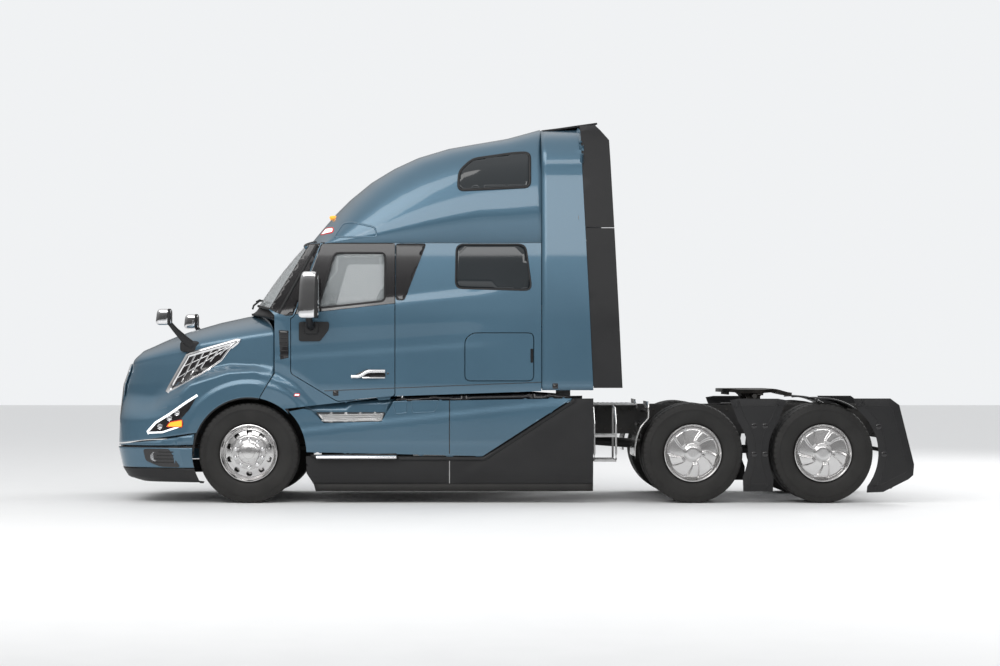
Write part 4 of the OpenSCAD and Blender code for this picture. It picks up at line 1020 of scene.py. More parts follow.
pair("stepShade", panel(at(doorX, [(0.19, 0.492), (0.24, 0.455), (1.09, 0.450), (1.07, 0.505)]), lambda x,
                        z: fairY(x, z) + 0.002, (), 0.05), "plastic", thick=0.006)
pocket = rounded(at(doorEndX, [(-0.023, 1.025), (0.128, 1.035), (0.120, 0.915), (0.006, 0.905)]), 0.02)
pair("fairingPocket", ribbon(pocket, 0.014, fairY), "paint")
lid = rounded(at(doorEndX, [(0.161, 1.035), (0.446, 1.040), (0.40, 0.925), (0.18, 0.915)]), 0.02)
pair("fairingLid", ribbon(lid, 0.010, fairY), "paint")
for label, markX, markZ, body in (("Door", doorX + 0.456, 1.115, "door_{}"), ("Sleeper", seamX + 0.138,
        1.185, "chassis")):
    square = rounded(at(markX, [(-0.028, markZ - 0.026), (0.028, markZ - 0.026), (0.028, markZ + 0.030),
                                (-0.028, markZ + 0.030)]), 0.008)
    pair("sideMark" + label, panel(square, lambda x, z: cabY(x, z) + 0.004, (), 0.03), "gloss", body,
         thick=0.008)
sillAt = lambda x: 1.129 + (x - doorX - 0.10) * 0.040
pair("doorSill", ribbon(np.array([(x, sillAt(x)) for x in (doorX + 0.34, doorEndX - 0.006)]), 0.009,
                        lambda x, z: cabY(x, z) - 0.0015, closed=False), "gloss", "door_{}")
pair("sleeperSill", ribbon(np.array([(x, sillAt(x)) for x in (doorEndX + 0.006, seamX - 0.004)]), 0.009,
                           lambda x, z: cabY(x, z) - 0.0015, closed=False), "gloss")
marker = rounded(at(doorX, [(0.030, 1.083), (0.092, 1.083), (0.096, 1.113), (0.040, 1.113)]), 0.010)
pair("fenderMarker", panel(marker, lambda x, z: cabY(x, z) + 0.007, (), 0.01), "red", thick=0.008)
pair("fenderMarkerLens", panel(shrunk(marker, 0.008), lambda x, z: cabY(x, z) + 0.010, (), 0.01), "led",
     thick=0.004)
pair("fairingCap",
     panel(np.vstack([at(doorEndX, [(0.002, 1.034), (0.01, 1.068)]),
                      at(seamX, [(-0.02, 1.108), (0.300, 1.085), (0.300, 1.066)])]), lambda x,
           z: halfW - 0.05 + 0 * x, (), 0.08), "gloss", thick=0.01)

# black lower fairing down to the rubber skirt
lowerLine = np.vstack([at(frontX + wellR, [(0.014, 0.476), (0.020, 0.30), (0.060, 0.239), (0.090, 0.19)]),
                       at(seamX, [(0.524, 0.19), (0.526, 1.062), (0.300, 1.060), (-0.605, 0.480)])])
lowY = lambda x, z: halfW - 0.036 - 0.02 * smooth(0.32, 0.18, z) - 0.010 * smooth(0.0, 0.09,
        z - (0.478 + (x - seamX + 0.42) * 0.62))
pair("lowerFairing", panel(lowerLine, lowY, (), 0.032), "plastic", nodes=["lower_fairings"], thick=0.018,
     bevel=0.004)
skirtLine = np.vstack([at(frontX + wellR, [(0.092, 0.196), (0.112, 0.121)]),
                       at(seamX, [(0.522, 0.121), (0.524, 0.196)])])
pair("rubberSkirt", panel(skirtLine, lambda x, z: halfW - 0.042 + 0 * x, (), 0.08), "skirt", thick=0.010)
pair("lowerGap", ribbon(np.array([(gasketX, 0.20), (gasketX, 0.49)]), 0.010, lambda x, z: lowY(x, z)
                        - 0.001, closed=False), "satin")
ridge = np.array([(doorX + 1.10, 0.450), (seamX - 0.583, 0.450), (seamX + 0.335, 1.045)])
pair("fairingRidge", ribbon(ridge, 0.046, lambda x, z: lowY(x, z) - 0.001, closed=False), "plastic")
print("stage: fairings")


# tyre: the profile (radius, distance out from the middle) turned about the axle,
# with shoulder cuts and ribs pressed into it
def tyreShape(x, middle, width, cuts=54):
    h = width / 2
    rim = 0.292
    profile = np.array([(rim, -h + 0.034), (rim + 0.008, -h + 0.022), (rim + 0.020, -h + 0.012),
                        (rim + 0.05, -h + 0.003), (tyreR - 0.10, -h), (tyreR - 0.062, -h + 0.002),
                        (tyreR - 0.058, -h + 0.005), (tyreR - 0.045, -h + 0.008),
                        (tyreR - 0.028, -h + 0.012), (tyreR - 0.010, -h + 0.020),
                        (tyreR - 0.003, -h + 0.032)])
    crown = []
    for k in range(5):
        # five ribs with grooves between them
        a, b = -h + 0.036 + k * (width - 0.072) / 5, -h + 0.036 + (k + 1) * (width - 0.072) / 5
        crown += [(tyreR - 0.001, a + 0.004), (tyreR, (a + b) / 2), (tyreR - 0.001, b - 0.004)]
        if k < 4:
            crown += [(tyreR - 0.014, b - 0.003), (tyreR - 0.014, b + 0.003)]
    profile = np.vstack([profile, crown, profile[::-1] * [1, -1]])
    steps = cuts * 6
    a = np.linspace(0, 2 * np.pi, steps, endpoint=False)
    r = np.tile(profile[:, 0], (steps, 1))
    shoulder = (profile[:, 0] > tyreR - 0.045) & (np.abs(profile[:, 1]) > h - 0.040)
    gap = (np.arange(steps) % 6) < 2
    r[np.ix_(gap, shoulder)] -= 0.007
    points = np.stack([x + np.cos(a)[:, None] * r, np.tile(middle + profile[:, 1], (steps, 1)),
                       axleZ + np.sin(a)[:, None] * r], -1)
    return grid(points, closeRows=True)


def ringOf(shape, count, x, z, start=0.0):
    # copies of a shape turned about the axle
    out = []
    for k in range(count):
        a = start + 2 * math.pi * k / count
        c, s = math.cos(a), math.sin(a)
        p = np.asarray(shape[0]) - [x, 0, z]
        out.append((np.stack([x + c * p[:, 0] + s * p[:, 2], p[:, 1], z - s * p[:, 0] + c * p[:, 2]], 1),
                    shape[1]))
    return joined(*out)


def letterRing(x, out, radius, height):
    # a plain raised band on the tyre wall
    return lathe([(radius - height, out - 0.001), (radius - height + 0.003, out + 0.002),
                  (radius - 0.003, out + 0.002), (radius, out - 0.001)], (x, 0, axleZ), steps=96)


def boltAt(x, out, z, radius=0.016, height=0.030):
    return joined(lathe([(0.0005, out + height), (radius * 0.55, out + height - 0.001),
                         (radius * 0.8, out + height - 0.006), (radius * 0.86, out + 0.006),
                         (radius * 1.25, out + 0.005), (radius * 1.25, out)], (x, 0, z), steps=16))


def frontWheel(x, middle):
    out = middle + 0.140
    rim = lathe([(0.262, middle - 0.128), (0.288, middle - 0.132), (0.2915, middle - 0.124),
                 (0.289, middle - 0.112), (0.270, middle - 0.10), (0.270, middle + 0.10),
                 (0.289, middle + 0.112), (0.2925, middle + 0.126), (0.2895, out - 0.006),
                 (0.283, out - 0.004), (0.279, out - 0.012), (0.272, out - 0.030), (0.266, out - 0.062),
                 (0.262, out - 0.070), (0.250, out - 0.078), (0.235, out - 0.074)], (x, 0, axleZ), steps=96)
    # the disc is a ring of ten holes: radius and angle grid bent round each hole
    holes, holeR, pitch = 10, 0.030, 0.2115
    angle = np.linspace(0, 2 * math.pi / holes, 25)
    discs = []
    for k in range(holes):
        mid = 2 * math.pi * (k + 0.5) / holes
        t = np.linspace(0, 2 * math.pi, 33)
        # square boundary of the sector against the round hole
        half = math.pi / holes
        box = []
        for v in t:
            c, s = math.cos(v), math.sin(v)
            m = max(abs(c), abs(s))
            c, s = c / m, s / m
            radius = pitch + (0.2385 - pitch) * c if c > 0 else pitch + (pitch - 0.176) * c
            box.append((radius, s * half))
        box = np.array(box)
        hr = pitch + holeR * np.cos(t)
        ha = holeR * np.sin(t) / hr
        rows = []
        for f in np.linspace(0, 1, 5):
            rad = hr + (box[:, 0] - hr) * f
            ang = mid + ha + (box[:, 1] - ha) * f
            depth = out - 0.060 - 0.014 * smooth(0.176, 0.2385, rad)
            rows.append(np.stack([x + rad * np.cos(ang), depth, axleZ + rad * np.sin(ang)], -1))
        depth = out - 0.060 - 0.014 * smooth(0.176, 0.2385, hr)
        back = np.stack([x + hr * np.cos(mid + ha), depth - 0.022, axleZ + hr * np.sin(mid + ha)], -1)
        discs.append(grid(np.stack([back] + rows)))
    centre = lathe([(0.176, out - 0.060), (0.168, out - 0.058), (0.165, out - 0.050), (0.128, out - 0.050),
                    (0.126, out - 0.046), (0.110, out - 0.040), (0.108, out - 0.012), (0.104, out - 0.004),
                    (0.094, out + 0.002), (0.060, out + 0.008), (0.056, out + 0.016), (0.020, out + 0.020),
                    (0.0005, out + 0.020)], (x, 0, axleZ), steps=72)
    nuts = ringOf(boltAt(x + 0.1429, out - 0.052, axleZ, 0.017, 0.040), 10, x, axleZ, math.pi / 10)
    capBolts = ringOf(boltAt(x + 0.082, out + 0.000, axleZ, 0.006, 0.012), 8, x, axleZ)
    back = lathe([(0.268, middle - 0.02), (0.20, middle + 0.01), (0.11, middle + 0.02),
                  (0.11, middle - 0.08)], (x, 0, axleZ), steps=72)
    return joined(rim, *discs, centre, back), nuts, capBolts


tyreMiddle = (frontLow.y + frontHigh.y) / -2
face, nuts, capBolts = frontWheel(frontX, tyreMiddle)
tyre = tyreShape(frontX, tyreMiddle, 0.280)
pair("frontTyre", mirrored(tyre), "tyre", "front_wheel_{}", ["front_tyre_{}"], sharp=28)
pair("frontTyreBand", mirrored(joined(letterRing(frontX, tyreMiddle + 0.1395, tyreR - 0.072, 0.004),
                                      letterRing(frontX, tyreMiddle + 0.133, tyreR - 0.165, 0.004))),
     "tyre", "front_wheel_{}")
pair("frontRim", mirrored(face), "alloy", "front_wheel_{}", ["front_rim_{}"])
pair("frontNuts", mirrored(nuts), "chrome", "front_wheel_{}", sharp=50)
pair("frontCapBolts", mirrored(capBolts), "satin", "front_wheel_{}")


def coverShape(x, out):
    # wheel cover: depth by radius with five petals that swell towards the rim, d = swell * cos(5 a / 2)^8
    a = np.linspace(0, 2 * math.pi, 180, endpoint=False)
    r = np.concatenate([np.linspace(0.0005, 0.084, 6), np.linspace(0.088, 0.25, 22), [0.256, 0.262, 0.266]])
    rr, aa = np.meshgrid(r, a)
    base = np.interp(rr, [0, 0.060, 0.080, 0.084, 0.092, 0.24, 0.256, 0.266], [0.040, 0.040, 0.036, 0.026,
            0.016, -0.004, -0.012, -0.030])
    petal = np.cos(2.5 * (aa + 0.35 * (rr - 0.08) / 0.17)) ** 2
    swell = 0.020 * smooth(0.55, 0.80, petal) * smooth(0.090, 0.125, rr) * smooth(0.258, 0.235, rr)
    return grid(np.stack([x + rr * np.cos(aa), out + base + swell, axleZ + rr * np.sin(aa)], -1),
                closeRows=True)


for label, x in (("drive", driveX), ("rear", rearX)):
    outer, inner = tyreMiddle, tyreMiddle - 0.330
    pair(label + "Tyres", mirrored(joined(tyreShape(x, outer, 0.280), tyreShape(x, inner, 0.280))), "tyre",
         label + "_wheels_{}", [label + "_tyres_{}"], sharp=28)
    pair(label + "TyreBand", mirrored(joined(letterRing(x, outer + 0.1395, tyreR - 0.072, 0.004),
                                             letterRing(x, outer + 0.133, tyreR - 0.165, 0.004))), "tyre",
         label + "_wheels_{}")
    barrels = joined(*[lathe([(0.262, m - 0.128), (0.288, m - 0.132), (0.2915, m - 0.124),
                              (0.289, m - 0.112), (0.272, m - 0.10), (0.272, m + 0.10), (0.289, m + 0.112),
                              (0.2925, m + 0.126), (0.2895, m + 0.134), (0.283, m + 0.135),
                              (0.277, m + 0.125), (0.268, m + 0.09), (0.25, m + 0.07), (0.11, m + 0.06),
                              (0.11, m - 0.12)], (x, 0, axleZ), steps=96) for m in (outer, inner)])
    pair(label + "Rims", mirrored(barrels), "alloy", label + "_wheels_{}", [label + "_rims_{}"])
    pair(label + "Cover", mirrored(coverShape(x, outer + 0.100)), "alloy", label + "_wheels_{}")
    coverBolts = ringOf(boltAt(x + 0.243, outer + 0.098, axleZ, 0.010, 0.012), 5, x, axleZ, math.pi / 5)
    pair(label + "CoverBolts", mirrored(coverBolts), "chrome", label + "_wheels_{}")
print("stage: wheels")


# rear wheel fairings: thin black panels between and behind the tyres
arcAt = lambda x, r, a0, a1, n=16: np.stack([x + r * np.cos(np.radians(np.linspace(a0, a1, n))),
                                             axleZ + r * np.sin(np.radians(np.linspace(a0, a1, n)))], 1)
midX = (driveX + rearX) / 2
clear = tyreR + 0.050
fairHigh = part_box("wheel_fairings")[1]


def lobe(centre, half, roundZ=0.4, roundXY=0.4, rows=22, cols=40):
    # superellipsoid: x = a C(u) C(v), y = b C(u) S(v), z = c S(u), with C and S raised to the given powers
    power = lambda c, e: np.sign(c) * np.abs(c) ** e
    u = np.linspace(-math.pi / 2, math.pi / 2, rows)[:, None] * 0.9995
    v = np.linspace(0, 2 * math.pi, cols, endpoint=False)[None, :]
    x = half[0] * power(np.cos(u), roundZ) * power(np.cos(v), roundXY)
    y = half[1] * power(np.cos(u), roundZ) * power(np.sin(v), roundXY)
    z = half[2] * power(np.sin(u), roundZ) + 0 * v
    points, faces = grid(np.stack([x, y, z], -1) + np.asarray(centre, float), closeCols=True)
    faces = faces.tolist() + [list(range(cols))[::-1], list(range((rows - 1) * cols, rows * cols))]
    return points, faces


def turned(shape, centre, axis, degrees):
    # the shape turned about an axis through the centre
    p = np.asarray(shape[0], float) - centre
    k = np.asarray(axis, float) / np.linalg.norm(axis)
    a = math.radians(degrees)
    p = p * math.cos(a) + np.cross(k, p) * math.sin(a) + np.outer(p @ k, k) * (1 - math.cos(a))
    return p + centre, shape[1]


mid = [(0.150, 0.118), (-0.150, 0.118)]
top = math.degrees(math.asin(0.389 / clear))
low = math.degrees(math.asin(0.241 / clear))
midFair = np.vstack([arcAt(driveX, clear, -low, top - 9), [(midX - 0.285, axleZ + 0.537),
                                                           (midX - 0.200, axleZ + 0.552),
                                                           (midX + 0.200, axleZ + 0.552),
                                                           (midX + 0.285, axleZ + 0.537)],
                     arcAt(rearX, clear, 189 - top, 180 + low), [(midX + mid[0][0], mid[0][1]),
        (midX + mid[1][0], mid[1][1])]])
rearFair = np.vstack([arcAt(rearX, clear, -37, 50), [(rearX + 0.306, axleZ + 0.554),
                                                     (rearX + 0.679, axleZ + 0.554),
                                                     (rearX + 0.770, axleZ + 0.487),
                                                     (tailX, axleZ - 0.113),
                                                     (tailX - 0.008, axleZ - 0.223),
                                                     (tailX - 0.058, axleZ - 0.266),
                                                     (tailX - 0.314, axleZ - 0.394),
                                                     (rearX + 0.440, axleZ - 0.400)]])
bulge = lambda outline: (lambda x, z: fairHigh.y - 0.001 - 0.016 * smooth(0.07, 0.0,
        fromEdge(np.stack([np.ravel(x), np.ravel(z)], 1), outline)).reshape(np.shape(x)))
for label, outline in (("mid", midFair), ("rear", rearFair)):
    pair(label + "WheelFairing", panel(outline, bulge(outline), (), 0.035), "plastic",
         nodes=["wheel_fairings"], thick=0.016, bevel=0.004)
    pair(label + "FairingRim", ribbon(shrunk(rounded(outline, 0.03), 0.075), 0.014, lambda x, z: fairHigh.y
                                      - 0.004 + 0 * x, True, 0.03), "plastic")
dimples = [(midX - 0.041, 0.784), (midX + 0.070, 0.784), (midX - 0.041, 0.496), (midX + 0.070, 0.496)]
fairBolts = [(tailX - 0.361, 0.777), (tailX - 0.306, 0.496)]
pair("fairingDimples",
     joined(*[lathe([(0.0005, -fairHigh.y - 0.002), (0.016, -fairHigh.y - 0.003),
                     (0.026, -fairHigh.y - 0.0005), (0.030, -fairHigh.y + 0.004)], (x, 0, z), steps=24)
              for x, z in dimples + fairBolts]), "gloss")
brackets = [tube([(x, -0.43, z), (x, -1.182, z)], 0.021, 12) for x, z in ((midX, axleZ + 0.080),
        (midX, axleZ + 0.380), (rearX + 0.6, axleZ + 0.03), (rearX + 0.6, axleZ + 0.33))]
pair("fairingTubes", joined(*brackets), "chassis")
capA = arcAt(rearX, clear + 0.006, 53, 97, 14)
capPath = np.stack([capA[:, 0], np.zeros(14), capA[:, 1]], -1)
capRows = np.stack([capPath + [0, y, -0.012 * abs(k)] for k,
                    y in zip((1, 0, 0, 1), (-1.19, -1.16, -0.60, -0.57))])
pair("tyreCap", grid(capRows), "plastic", thick=0.008)

# quarter fender ahead of the first drive axle, bright metal
arc = arcAt(driveX, tyreR + 0.084, 183, 153, 16)
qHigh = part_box("quarter_fenders")[1]
fenderPath = np.vstack([arc, [(qHigh.x - 0.004, 0.86), (qHigh.x - 0.002, 0.95), (qHigh.x - 0.004, qHigh.z)]])
widths = np.array([-1.2, -1.19, -0.9, -0.61, -0.60])
rows = np.stack([np.stack([fenderPath[:, 0] + (0.010 if k in (0, 4) else 0.0), np.full(len(fenderPath), y),
                           fenderPath[:, 1]], -1) for k, y in enumerate(widths)])
pair("quarterFender", grid(rows), "alloy", nodes=["quarter_fenders"], thick=0.006)
braceX = driveX - 0.505
pair("fenderBrace",
     joined(tube([(braceX, -0.43, 0.80), (braceX - 0.03, -0.62, 0.80), (braceX - 0.068, -1.12, 0.80)],
                 0.014, 10), tube([(braceX + 0.05, -0.43, 0.93), (braceX + 0.05, -1.1, 0.93)], 0.014, 10)),
     "chassis")

# deck behind the sleeper: tread plate, hung steps on the left
dLow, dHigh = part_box("deck_plate")
studs = []
for i in range(9):
    for j in range(24):
        x, y = dLow.x + 0.035 + i * 0.051, -0.59 + j * 0.0513
        k = 1 if (i + j) % 2 else -1
        studs.append(turned(lobe((x, y, dHigh.z + 0.0005), (0.015, 0.004, 0.0025), 0.8, 0.8, 5, 8),
                            (x, y, dHigh.z), (0, 0, 1), 45 * k))
piece("deckPlate", joined(block((dLow.x, -0.62, dHigh.z - 0.010), (dHigh.x, 0.62, dHigh.z)),
                          block((dLow.x, -0.62, dHigh.z - 0.045), (dLow.x + 0.005, 0.62, dHigh.z)),
                          block((dHigh.x - 0.005, -0.62, dHigh.z - 0.045), (dHigh.x, 0.62, dHigh.z))),
      "deck", "chassis", ["deck_plate"], bevel=0.002)
piece("deckStuds", joined(*studs), "satin", "chassis")
steps = []
for x in (dLow.x + 0.004, dLow.x + 0.224):
    steps += [tube([(x, -1.125, 0.44), (x, -1.13, 0.50), (x, -1.10, 0.80), (x, -0.90, 0.962),
                    (x, -0.60, 0.975)], 0.011, 10), tube([(x, -0.585, 0.44), (x, -0.585, 0.98)], 0.011, 10)]
for z in (0.44, 0.69):
    for k in range(9):
        y = -1.12 + k * 0.066
        steps.append(block((dLow.x + 0.002, y, z - 0.022), (dLow.x + 0.226, y + 0.012, z)))
    for x in (dLow.x + 0.002, dLow.x + 0.112, dLow.x + 0.222):
        steps.append(block((x, -1.135, z - 0.022), (x + 0.006, -0.575, z)))
piece("deckSteps", joined(*steps), "satin", "chassis", bevel=0.001)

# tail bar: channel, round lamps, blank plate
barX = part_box("tail_bar")[0].x
piece("tailBar", prism([(y, z) for y, z in [(-1.0, 0.635), (-0.99, 0.622), (0.99, 0.622), (1.0, 0.635),
                                            (1.0, 0.785), (0.99, 0.798), (-0.99, 0.798), (-1.0, 0.785)]],
                       barX, barX + 0.039, "x"), "chassis", "chassis", ["tail_bar"], bevel=0.006)
lampsRed, lampRims, lampClear = [], [], []
for side in (-1, 1):
    for k, y in enumerate((0.69, 0.79, 0.89)):
        target = lampClear if k == 0 else lampsRed
        target.append(lathe([(0.0005, barX + 0.072), (0.022, barX + 0.070), (0.036, barX + 0.064),
                             (0.040, barX + 0.054), (0.040, barX + 0.040)], (0, side * y, 0.71), axis="x",
                            steps=32))
        lampRims.append(lathe([(0.040, barX + 0.038), (0.041, barX + 0.056), (0.045, barX + 0.058),
                               (0.049, barX + 0.054), (0.050, barX + 0.038)], (0, side * y, 0.71),
                              axis="x", steps=32))
piece("tailLamps", joined(*lampsRed), "red", "chassis")
piece("reverseLamps", joined(*lampClear), "lens", "chassis")
piece("lampRims", joined(*lampRims), "plastic", "chassis")
piece("blankPlate", prism(rounded([(-0.155, 0.642), (0.155, 0.642), (0.155, 0.788), (-0.155, 0.788)],
                                  0.015, 4), barX + 0.039, barX + 0.045, "x"), "satin", "chassis",
      bevel=0.001)
piece("plateBolts",
      joined(*[lathe([(0.0005, barX + 0.048), (0.005, barX + 0.048), (0.006, barX + 0.045),
                      (0.006, barX + 0.040)], (0, y, 0.765), axis="x", steps=12) for y in (-0.11, 0.11)]),
      "chrome", "chassis")

# coupling plate: horseshoe with a throat, greased top
fLow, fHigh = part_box("fifth_wheel")
baseLow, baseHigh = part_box("fifth_wheel_base")
jawX = (baseLow.x + baseHigh.x) / 2
half = [(fLow.x + 0.000, 0.0), (fLow.x + 0.004, 0.15), (fLow.x + 0.03, 0.30), (fLow.x + 0.10, 0.41),
        (fLow.x + 0.20, 0.455), (fLow.x + 0.45, 0.455), (fLow.x + 0.60, 0.40), (fHigh.x - 0.06, 0.27),
        (fHigh.x, 0.235), (fHigh.x, 0.165), (jawX + 0.16, 0.055), (jawX + 0.07, 0.0285), (jawX, 0.0285)]
jaw = [(jawX + 0.0285 * math.cos(a), 0.0285 * math.sin(a)) for a in np.linspace(math.pi / 2, math.pi, 8)[1:]]
plan = np.array(half + jaw)
plan = np.vstack([plan, (plan[1:-1] * [1, -1])[::-1]])
plateTop = fHigh.z
flat, faces = panel(plan, lambda x, z: 0 * x, (), 0.03)
ramp = lambda x, y: 0.045 * smooth(fHigh.x - 0.24, fHigh.x + 0.02, x) + 0.012 * smooth(0.40, 0.47, np.abs(y))
top = np.stack([flat[:, 0], flat[:, 2], plateTop - 0.0005 - ramp(flat[:, 0], flat[:, 2])], 1)
piece("couplingPlate", (top, faces), "grease", "fifth_wheel", ["fifth_wheel"], thick=0.036, bevel=0.004)
grooves = []
for r in (0.11, 0.20, 0.30):
    a = np.linspace(math.radians(115 if r < 0.15 else 100), math.radians(245 if r < 0.15 else 260), 40)
    gx, gy = jawX + r * np.cos(a), r * np.sin(a) * 1.15
    grooves.append(tube(np.stack([gx, gy, plateTop - 0.001 - ramp(gx, gy)], -1), 0.0035, 6, squash=0.5))
piece("greaseGrooves", joined(*grooves), "chassis", "fifth_wheel")
under = []
for side in (-1, 1):
    under.append(prism([(jawX - 0.13, plateTop - 0.035), (jawX - 0.04, fLow.z + 0.004),
                        (jawX + 0.04, fLow.z + 0.004), (jawX + 0.13, plateTop - 0.035)], side * 0.27
                       - 0.045, side * 0.27 + 0.045))
    under.append(lathe([(0.0005, side * 0.33 - 0.13), (0.025, side * 0.33 - 0.13),
                        (0.025, side * 0.33 + 0.05), (0.0005, side * 0.33 + 0.05)], (jawX, 0, 1.075),
                       steps=32))
under.append(block((fLow.x + 0.08, -0.30, plateTop - 0.065), (fLow.x + 0.10, 0.30, plateTop - 0.036)))
under.append(block((jawX - 0.10, -0.16, plateTop - 0.085), (jawX - 0.03, 0.16, plateTop - 0.036)))
under.append(tube([(jawX + 0.02, -0.16, plateTop - 0.062), (jawX + 0.02, -0.42, plateTop - 0.062),
                   (jawX + 0.05, -0.45, plateTop - 0.062), (jawX + 0.09, -0.45, plateTop - 0.062)], 0.009,
                  10))
piece("couplingUnder", joined(*under), "iron", "fifth_wheel", bevel=0.002)
print("stage: rear chassis")

# door mirror: tall chrome shell, black arm and base, glass facing back
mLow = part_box("door_mirror_left")[0]
mirrorX, mirrorY, mirrorZ = doorX + 0.197, mLow.y + 0.088, 2.1035
shell = lobe((mirrorX, mirrorY, mirrorZ), (0.099, 0.086, 0.236), 0.28, 0.45, 30, 44)
p = shell[0]
t = (p[:, 2] - mirrorZ) / 0.236
p[:, 0] = mirrorX + (p[:, 0] - mirrorX) * (1 - 0.16 * np.clip(t, 0, 1) ** 2) + 0.012 * t
pair("mirrorShell", shell, "chrome", "door_{}", ["door_mirror_{}"])
for label, z, h in (("Main", mirrorZ + 0.045, 0.150), ("Wide", mirrorZ - 0.160, 0.048)):
    glassShape = lobe((mirrorX + 0.092, mirrorY, z), (0.012, 0.072, h), 0.25, 0.35, 16, 32)
    pair("mirrorGlass" + label, glassShape, "chrome", "door_{}")
pair("mirrorBezel", lobe((mirrorX + 0.074, mirrorY, mirrorZ - 0.005), (0.026, 0.083, 0.226), 0.25, 0.4),
     "plastic", "door_{}")
baseLine = rounded(at(doorX, [(0.084, 1.640), (0.300, 1.640), (0.388, 1.760), (0.392, 1.838),
                              (0.084, 1.838)]), 0.025)
pair("mirrorBase", panel(baseLine, lambda x, z: cabY(x, z) + 0.018, (), 0.03), "plastic", "door_{}",
     thick=0.018, bevel=0.005)
armShape = joined(tube([(doorX + 0.21, -halfW, 1.79), (doorX + 0.21, -halfW - 0.06, 1.80),
                        (doorX + 0.20, -halfW - 0.14, 1.83), (doorX + 0.197, mirrorY, 1.90)],
                       [0.048, 0.042, 0.036, 0.034], 16, up=(1, 0, 0)),
                  lobe((doorX + 0.21, -halfW - 0.008, 1.77), (0.075, 0.026, 0.058), 0.4, 0.6))
pair("mirrorArm", armShape, "plastic", "door_{}")

# hood mirror on its slanted black arm
topY = surfaceY(hoodLeft)
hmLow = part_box("hood_mirrors")[0]
baseY = float(topY(np.array([frontX - 0.62]), np.array([1.585]))[0])
flatBase = lobe((frontX - 0.62, -baseY - 0.004, 1.590), (0.100, 0.022, 0.058), 0.5, 0.35)
hmY = hmLow.y + 0.075
arm = tube([(frontX - 0.60, -baseY, 1.595), (frontX - 0.66, -baseY - 0.020, 1.650),
            (frontX - 0.76, (hmY - baseY) / 2 - 0.02, 1.760), (frontX - 0.83, hmY, 1.850)],
           [0.050, 0.042, 0.028, 0.022], 14, up=(0, 1, 0), squash=0.7)
pair("hoodMirrorArm", joined(flatBase, arm), "plastic", "hood", ["hood_mirrors"])
head = lobe((frontX - 0.868, hmY, 1.889), (0.074, 0.070, 0.082), 0.45, 0.5)
head[0][:, 0] += 0.12 * (head[0][:, 2] - 1.889)
pair("hoodMirrorShell", head, "chrome", "hood")
pair("hoodMirrorRim", lobe((frontX - 0.812, hmY, 1.889), (0.020, 0.072, 0.084), 0.45, 0.5), "plastic",
     "hood")
pair("hoodMirrorGlass", lobe((frontX - 0.800, hmY, 1.889), (0.012, 0.062, 0.073), 0.4, 0.5), "chrome",
     "hood")

# door handle: chrome paddle over a dark pocket
handle = rounded(at(doorX, [(0.640, 1.295), (0.740, 1.262), (0.962, 1.270), (0.955, 1.352),
                            (0.770, 1.358)]), 0.02)
pair("handlePocket", panel(handle, lambda x, z: cabY(x, z) + 0.003, (), 0.02), "gloss", "door_{}",
     thick=0.004)
hx = np.linspace(doorX + 0.615, doorX + 0.955, 16)
hz = 1.283 + 0.055 * smooth(doorX + 0.68, doorX + 0.80, hx)
hy = -cabY(hx, hz) - 0.012 - 0.014 * np.sin(np.linspace(0, math.pi, 16))
pair("handleBar", tube(np.stack([hx, hy, hz], -1), 0.014, 12, squash=1.3), "chrome", "door_{}")
pair("handleLower", tube(np.stack([hx[5:], hy[5:] + 0.006, np.full(11, 1.272)], -1), 0.009, 10), "chrome",
     "door_{}")
pair("doorLock", lathe([(0.0005, -0.012), (0.010, -0.012), (0.012, -0.008), (0.012, 0.0)],
                       (doorX + 0.985, -1.196, 1.315), steps=20), "chrome", "door_{}")

# roof marker lamps, a recess panel by the roof seam, horns left out
markerLine = rounded(at(doorX, [(0.272, 2.755), (0.405, 2.765), (0.405, 2.806), (0.320, 2.812)]), 0.015)
pair("roofMarkerBed", panel(shrunk(markerLine, -0.014), lambda x, z: roofY(x, z) + 0.007, (), 0.02), "red",
     thick=0.008)
pair("roofMarker", panel(markerLine, lambda x, z: roofY(x, z) + 0.012, (), 0.02), "led", thick=0.008)
recessLine = rounded(at(doorX, [(0.430, 2.702), (0.870, 2.702), (0.850, 2.800), (0.620, 2.855),
                                (0.520, 2.850)]), 0.03)
pair("roofRecess", ribbon(recessLine, 0.018, lambda x, z: roofY(x, z) + 0.001), "paint")
roofMarks = []
for y in (-0.55, -0.18, 0.18, 0.55, 0.0):
    roofMarks.append(lobe((doorX + 0.37 + 0.05 * abs(y), y, 2.952 - 0.03 * abs(y)), (0.045, 0.055, 0.020),
                          0.7, 0.6, 12, 24))
piece("roofMarks", joined(*roofMarks), "amber", "chassis")
print("stage: mirrors and handles")


# inside of the cab: light lining on the walls and roof, seats, dashboard, wheel, bunk
pair("cabLining", panel(shrunk(cabLine, 0.03), lambda x, z: cabY(x, z) - 0.050, [shrunk(doorHole, -0.012),
        shrunk(sleeperWindow, -0.01), shrunk(luggageLine, -0.02)], 0.08), "trim", thick=0.004)
flat, faces = joined(roofLeft, mirrored(roofLeft))
lining = np.array(flat)
lining[:, 1] *= 0.955
lining[:, 2] = roofFoot + (lining[:, 2] - roofFoot) * 0.95
lining[:, 0] = seamX + (lining[:, 0] - seamX) * 0.965
piece("roofLining", (lining, faces), "trim", "chassis", thick=0.004)
cLow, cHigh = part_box("cab_floor")
piece("cabFloorMat", joined(block((cLow.x + 0.02, cLow.y + 0.01, 1.180), (cHigh.x, cHigh.y - 0.01, 1.199)),
                            block((cLow.x + 0.02, cLow.y + 0.01, 1.160), (cHigh.x, cHigh.y - 0.01,
        1.178))), "floorMat", "chassis", bevel=0.003)
